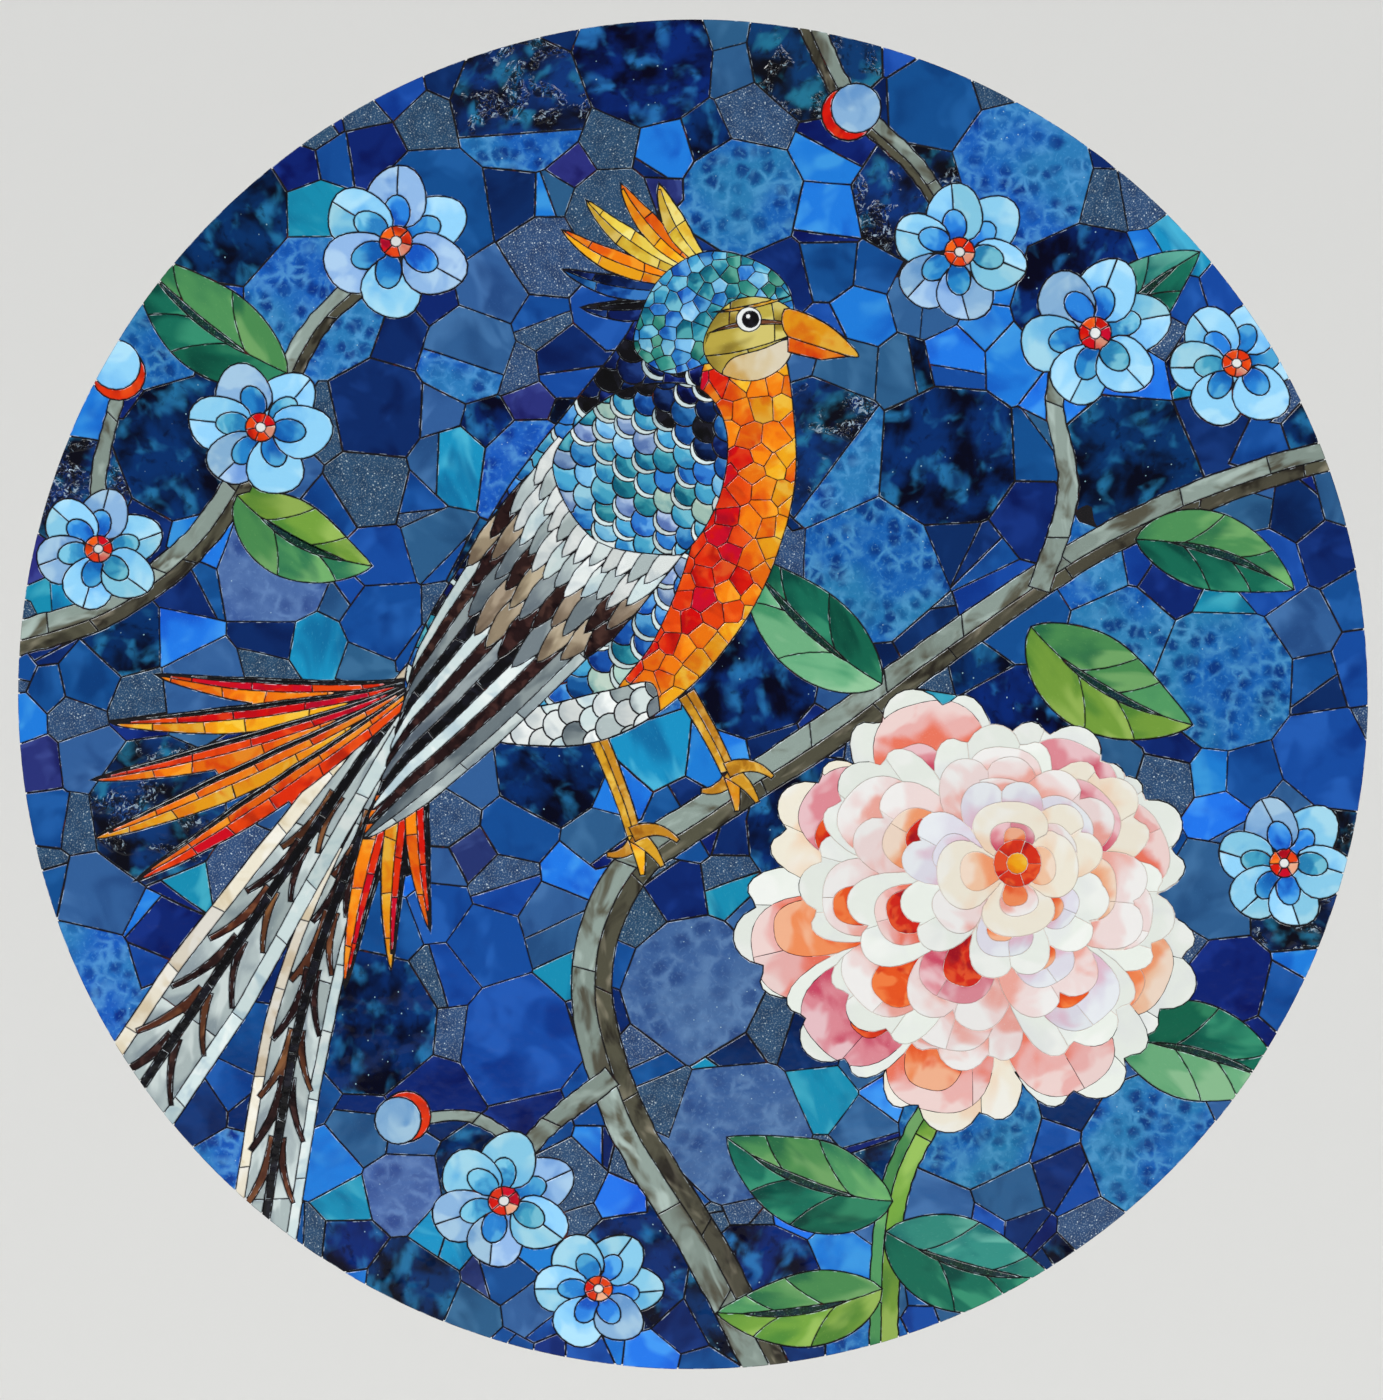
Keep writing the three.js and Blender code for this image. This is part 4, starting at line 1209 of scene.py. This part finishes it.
def shrink(loop, by):
    """The loop moved in by a distance, or out by a negative one, with the reach of its corners kept short."""
    longest = 1.6 if by < 0 else 2.2
    out = []
    for i, p in enumerate(loop):
        a, b = loop[i - 1], loop[(i + 1) % len(loop)]
        before, after = math.dist(a, p) or 1.0, math.dist(p, b) or 1.0
        inward = ((a[1] - p[1]) / before + (p[1] - b[1]) / after,
                  (p[0] - a[0]) / before + (b[0] - p[0]) / after)
        size = math.hypot(*inward) or 1.0
        out.append(add(p, inward, by * min(2 / size, longest) / size))
    return out


def crossing(loop):
    """The first two sides of the loop that cross, and where; None if none do."""
    def turn(a, b, c):
        return (b[0] - a[0]) * (c[1] - a[1]) - (b[1] - a[1]) * (c[0] - a[0])
    sides = list(zip(loop, loop[1:] + loop[:1]))
    for i, (a, b) in enumerate(sides):
        for j in range(i + 2, len(sides) - (i == 0)):
            c, d = sides[j]
            if turn(a, b, c) * turn(a, b, d) < 0 and turn(c, d, a) * turn(c, d, b) < 0:
                return i, j, lerp(a, b, turn(c, d, a) / (turn(c, d, a) - turn(c, d, b)))
    return None


def untangle(loop):
    """The simple loops that a loop with crossed sides falls into, without the ones turned inside out."""
    waiting, simple = [loop], []
    while waiting:
        loop = waiting.pop()
        found = crossing(loop) if len(loop) > 3 else None
        if found:
            i, j, at = found
            waiting += [loop[i + 1:j + 1] + [at], loop[:i + 1] + [at] + loop[j + 1:]]
        elif len(loop) > 2 and area(loop) > CRUMB:
            simple.append(loop)
    return simple


def inside(point, loop):
    hit = False
    for (x1, y1), (x2, y2) in zip(loop, loop[1:] + loop[:1]):
        if (y1 > point[1]) != (y2 > point[1]) and point[0] < (x2 - x1) * (point[1] - y1) / (y2 - y1) + x1:
            hit = not hit
    return hit


def reach_to(point, loops):
    """How far a point is from the nearest side."""
    best = 1e9
    for loop in loops:
        for a, b in zip(loop, loop[1:] + loop[:1]):
            along = (b[0] - a[0], b[1] - a[1])
            length = along[0] ** 2 + along[1] ** 2 or 1.0
            t = min(1.0, max(0.0, ((point[0] - a[0]) * along[0] + (point[1] - a[1]) * along[1]) / length))
            best = min(best, math.dist(point, add(a, along, t)))
    return best


def meshed(loops, pitch):
    """Points and triangles that fill the loops, with inner points about every pitch."""
    points, faces = [], []
    for loop in loops:
        faces.append(list(range(len(points), len(points) + len(loop))))
        points += loop
    low = [min(p[k] for p in loops[0]) for k in (0, 1)]
    high = [max(p[k] for p in loops[0]) for k in (0, 1)]
    if pitch:
        for j in range(1, int((high[1] - low[1]) / pitch) + 1):
            for i in range(1, int((high[0] - low[0]) / pitch) + 1):
                p = (low[0] + (i + 0.5 * (j % 2) + rng(-0.2, 0.2)) * pitch,
                     low[1] + (j + rng(-0.2, 0.2)) * pitch)
                if inside(p, loops[0]) and reach_to(p, loops) > 0.6 * pitch:
                    points.append(p)
    verts, _, triangles, _, _, _ = delaunay_2d_cdt([Vector(p) for p in points], [], faces, 1, TILE_WELD)
    verts = [tuple(v) for v in verts]
    kept = []
    for t in triangles:
        middle = (sum(verts[i][0] for i in t) / 3, sum(verts[i][1] for i in t) / 3)
        if inside(middle, loops[0]) and not any(inside(middle, hole) for hole in loops[1:]):
            kept.append(list(t))
    return verts, kept


def long_axis(loop):
    """The direction in which the loop is longest."""
    x = sum(p[0] for p in loop) / len(loop)
    y = sum(p[1] for p in loop) / len(loop)
    xx = sum((p[0] - x) ** 2 for p in loop)
    yy = sum((p[1] - y) ** 2 for p in loop)
    xy = sum((p[0] - x) * (p[1] - y) for p in loop)
    return 0.5 * math.atan2(2 * xy, xx - yy)


EASE_WIDTH, SMALL_EASE_WIDTH, EASE_DEPTH = 0.42, 0.26, 0.22    # the ground-off edge round a tile's face
STEEPEST, MOST_LEAN, SINK = 0.012, 0.22, 0.10    # a tile's slope, its rise over half a tile, its set-back
CUT_EDGE = {"flower_tiles": 0.2, "bird_breast_tiles": 0.5}     # how strongly the ground-off edge shows its painted shade, painted glints and dullness; else 1
SMOOTH_TILE, SMOOTH_DISC = math.radians(21), math.radians(35)
SMALL_TILES = ("bird_back", "bird_belly", "bird_face", "bird_head", "wing_shoulder", "bird_crest", "flower")


def outlines(tile, ease):
    """The outlines to cut for one tile, each with its holes. A tile with a thin neck falls in two."""
    # Moved in past the joint and the eased edge, and then out again, an outline loses its hair-thin tips.
    joint = tile["joint"] / 2 * (rng(0.6, 1.3) if tile["piece"] == "ground" else 1)
    holes = [neat(shrink(hand_cut(neat(hole)), joint), NEAREST_CUT)
             for hole in tile["loops"][1:] if len(hole) > 3 and abs(area(hole)) > PINHOLE]
    for core in untangle(shrink(hand_cut(neat(tile["loops"][0])), joint + ease)):
        core = neat(core, NEAREST_CUT)
        for outer in untangle(shrink(core, -ease))[:1]:
            outer = neat(outer, NEAREST_CUT)
            if len(outer) > 2:
                yield [outer] + [hole for hole in holes if inside(hole[0], outer)]


def cut_front(glass_name, loops):
    """The front of one tile: its points, with their height, and its faces."""
    waves, pitch = RELIEF.get(glass_name, ((), 0))
    if pitch or len(loops) > 1:
        points, faces = meshed(loops, pitch)
    else:
        points, faces = loops[0], [list(range(len(loops[0])))]
    middle = [sum(p[k] for p in loops[0]) / len(loops[0]) for k in (0, 1)]
    span = max(math.dist(p, middle) for p in loops[0])
    most = min(STEEPEST, MOST_LEAN / span)
    lean = (rng(-most, most), rng(-most, most))
    heights = []
    for x, y in points:
        swell = sum(high * noise.noise((x / length, y / length, length)) for length, high in waves)
        heights.append(lean[0] * (x - middle[0]) + lean[1] * (y - middle[1]) + swell)
    drop = max(heights) + rng(0.0, SINK)
    return [(x, y, h - drop) for (x, y), h in zip(points, heights)], faces


def model_glass(piece, tiles):
    """All the tiles of one piece: cut flat, then extruded off the bed and eased round their faces."""
    ease = SMALL_EASE_WIDTH if piece.startswith(SMALL_TILES) else EASE_WIDTH
    verts, faces, owners, cuts = [], [], [], []
    for tile in tiles:
        for loops in outlines(tile, ease):
            points, tile_faces = cut_front(tile["glass"], loops)
            faces += [[len(verts) + i for i in face] for face in tile_faces]
            verts += [(x * MM, -(GLASS_BACK + h) * MM, y * MM) for x, y, h in points]
            owners += [len(cuts)] * len(tile_faces)
            cuts.append((tile, loops[0]))
    mesh = bpy.data.meshes.new(piece)
    mesh.from_pydata(verts, [], faces)
    mesh.attributes.new("owner", "INT", "FACE").data.foreach_set("value", owners)
    obj = bpy.data.objects.new(piece, mesh)
    bpy.context.scene.collection.objects.link(obj)
    bpy.ops.object.select_all(action="DESELECT")
    obj.select_set(True)
    bpy.context.view_layer.objects.active = obj
    bpy.ops.object.mode_set(mode="EDIT")
    bpy.ops.mesh.select_mode(type="FACE")
    bpy.ops.mesh.select_all(action="SELECT")
    rise = (FACE - EASE_DEPTH - GLASS_BACK) * MM
    bpy.ops.mesh.extrude_region_move(TRANSFORM_OT_translate={"value": (0, -rise, 0)})
    bpy.ops.mesh.inset(thickness=ease * MM, depth=EASE_DEPTH * MM, use_even_offset=True)
    bpy.ops.object.mode_set(mode="OBJECT")
    rim = [0.0 if face.select else CUT_EDGE.get(piece, 1.0) for face in mesh.polygons]
    mesh.attributes.new("rim", "FLOAT", "FACE").data.foreach_set("value", rim)
    bpy.ops.object.mode_set(mode="EDIT")
    bpy.ops.mesh.select_all(action="SELECT")
    bpy.ops.mesh.normals_make_consistent(inside=False)
    bpy.ops.object.mode_set(mode="OBJECT")
    colour_tiles(mesh, cuts)
    bpy.ops.object.shade_smooth_by_angle(angle=SMOOTH_TILE)
    return obj


def colour_tiles(mesh, cuts):
    """Give each tile its glass, its tone and its place on the sheet that it was cut from."""
    kinds = sorted({tile["glass"] for tile, _ in cuts})
    for kind in kinds:
        mesh.materials.append(GLASS[kind])
    looks = []
    for tile, outline in cuts:
        heading = tile["heading"]
        if heading is None:
            heading = rng(0, 2 * math.pi) if tile["piece"] == "ground" else long_axis(outline)
        across, along = unit(heading - math.pi / 2), unit(heading)
        spans = []
        for axis in (across, along):
            reaches = [p[0] * axis[0] + p[1] * axis[1] for p in outline]
            spans.append(((min(reaches) + max(reaches)) / 2, (max(reaches) - min(reaches)) / 2))
        looks.append((kinds.index(tile["glass"]), across, along, spans, (rng(0, 4000), rng(0, 4000)),
                      rng(0.38, 0.62) if tile["piece"] == "flower" else rng()))
    owners = [value.value for value in mesh.attributes["owner"].data]
    tones = [looks[owner][5] for owner in owners]
    mesh.attributes.new("tone", "FLOAT", "FACE").data.foreach_set("value", tones)
    for layer in ("sheet", "tile"):
        mesh.uv_layers.new(name=layer)
    sheet, spot = mesh.uv_layers["sheet"].data, mesh.uv_layers["tile"].data
    for face, owner in zip(mesh.polygons, owners):
        face.material_index, across, along, spans, shift, _ = looks[owner]
        for corner in face.loop_indices:
            x, y, z = mesh.vertices[mesh.loops[corner].vertex_index].co / MM
            u, v = x * across[0] + z * across[1], x * along[0] + z * along[1]
            sheet[corner].uv = (u + shift[0] + y, v + shift[1])
            spot[corner].uv = ((u - spans[0][0]) / spans[0][1], (v - spans[1][0]) / spans[1][1])


# ---------------------------------------------------------------- the pieces


def hand_over(obj, nodes):
    """The piece rides on the panel's one body and stands for its CAD nodes."""
    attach(obj, "root")
    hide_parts(*nodes)


pieces = {}
for tile in plan.tiles():
    pieces.setdefault(tile["piece"], []).append(tile)
for piece, tiles in pieces.items():
    nodes = [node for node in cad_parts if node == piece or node.startswith(piece + "_part_")]
    if piece == "ground":
        groups = {"ground_plain": [t for t in tiles if t["glass"] not in RELIEF],
                  "ground_waved": [t for t in tiles if t["glass"] in RELIEF]}
    else:
        groups = {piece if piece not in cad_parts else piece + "_tiles": tiles}
    for name, group in groups.items():
        hand_over(model_glass(name, group), nodes)


def choose_edges(obj, wanted):
    """Go into edit mode with just the edges selected for which wanted(end, other end) is true."""
    bpy.ops.object.mode_set(mode="EDIT")
    bpy.ops.mesh.select_mode(type="EDGE")
    bpy.ops.mesh.select_all(action="DESELECT")
    bpy.ops.object.mode_set(mode="OBJECT")
    for edge in obj.data.edges:
        edge.select = wanted(*[obj.data.vertices[i].co for i in edge.vertices])
    bpy.ops.object.mode_set(mode="EDIT")


def model_disc(name, centre, radius, back, front, ease, material, squash=1.0, sides=240):
    """A flat disc across the wall's normal, with its rims eased."""
    bpy.ops.object.select_all(action="DESELECT")
    bpy.ops.mesh.primitive_cylinder_add(
        vertices=sides, radius=radius * MM, depth=(front - back) * MM,
        location=(centre[0] * MM, -(back + front) / 2 * MM, centre[1] * MM), rotation=(math.pi / 2, 0, 0))
    obj = bpy.context.object
    obj.name = obj.data.name = name
    obj.scale = (1, squash, 1)
    bpy.ops.object.transform_apply(location=True, rotation=True, scale=True)
    choose_edges(obj, lambda a, b: abs(a.y - b.y) < 1e-6)
    bpy.ops.mesh.bevel(offset=ease * MM, segments=3)
    bpy.ops.object.mode_set(mode="OBJECT")
    obj.data.materials.append(material)
    bpy.ops.object.shade_smooth_by_angle(angle=SMOOTH_DISC)
    return obj


board = model_disc("cement_backing_board", (0, 0), RADIUS, 0, BOARD, 0.8, CEMENT_BOARD)
hand_over(board, ["backing_board"])
bed = model_disc("grout_bed", (0, 0), RADIUS - 1.2, BOARD, FACE - GROUT_DROP, 0.5, DARK_GROUT)
hand_over(bed, ["setting_bed"])
flower_bed = model_disc("flower_grout", (176, -120), 112, FACE - 2 * GROUT_DROP, FACE - GROUT_DROP + 0.12,
                        0.05, PALE_GROUT, 0.93, 96)
hand_over(flower_bed, ["setting_bed"])


# ---------------------------------------------------------------- the studio

WALL_AWAY, WALL_HIGH, FLOOR_DOWN, FLOOR_SIZE, SWEEP = 4.0, 8.0, -2.7, 24.0, 1.2
NEAR = 0.01                        # how exactly an edge has to lie in its plane to be chosen
LENS, SENSOR, STAND_OFF = 85.0, 36.0, 1.933

studio_paper = bpy.data.materials.new("studio paper")
studio_paper.use_nodes = True
shader = studio_paper.node_tree.nodes["Principled BSDF"]
shader.inputs["Base Color"].default_value = (0.750, 0.750, 0.736, 1)
shader.inputs["Roughness"].default_value = 0.9
shader.inputs["Specular IOR Level"].default_value = 0.1

bpy.ops.object.select_all(action="DESELECT")
bpy.ops.mesh.primitive_plane_add(size=FLOOR_SIZE, location=(0, WALL_AWAY - FLOOR_SIZE / 2, FLOOR_DOWN))
floor = bpy.context.object
floor.name = "studio_sweep"
bpy.ops.object.transform_apply(location=True, rotation=True, scale=True)
choose_edges(floor, lambda *ends: all(p.y > WALL_AWAY - NEAR for p in ends))
bpy.ops.mesh.extrude_region_move(TRANSFORM_OT_translate={"value": (0, 0, WALL_HIGH)})
choose_edges(floor, lambda *ends: all(abs(p.y - WALL_AWAY) < NEAR and abs(p.z - FLOOR_DOWN) < NEAR
                                      for p in ends))
bpy.ops.mesh.bevel(offset=SWEEP, segments=16)
bpy.ops.object.mode_set(mode="OBJECT")
bpy.ops.object.shade_smooth()
floor.data.materials.append(studio_paper)


def soft_sun(name, azimuth, elevation, strength, width):
    light = bpy.data.lights.new(name, "SUN")
    light.energy, light.angle = strength, math.radians(width)
    lamp = bpy.data.objects.new(name, light)
    bpy.context.scene.collection.objects.link(lamp)
    lamp.rotation_euler = (math.radians(90 - elevation), 0, math.radians(azimuth))


soft_sun("left window", -34, 42, 1.42, 24)
soft_sun("right window", 32, 36, 1.12, 26)
soft_sun("glint in the left window", -38, 40, 0.16, 2.5)

world = bpy.data.worlds.new("studio")
world.use_nodes = True
world.node_tree.nodes["Background"].inputs["Color"].default_value = (0.97, 0.98, 1.0, 1)
world.node_tree.nodes["Background"].inputs["Strength"].default_value = 0.20
bpy.context.scene.world = world
bpy.context.scene.view_settings.view_transform = "Standard"

camera = bpy.data.objects.new("camera", bpy.data.cameras.new("camera"))
camera.data.lens, camera.data.sensor_width, camera.data.sensor_fit = LENS, SENSOR, "HORIZONTAL"
camera.location = (-0.0009, -FACE * MM - STAND_OFF, -0.0033)
camera.rotation_euler = (math.pi / 2, 0, 0)
bpy.context.scene.collection.objects.link(camera)
bpy.context.scene.camera = camera
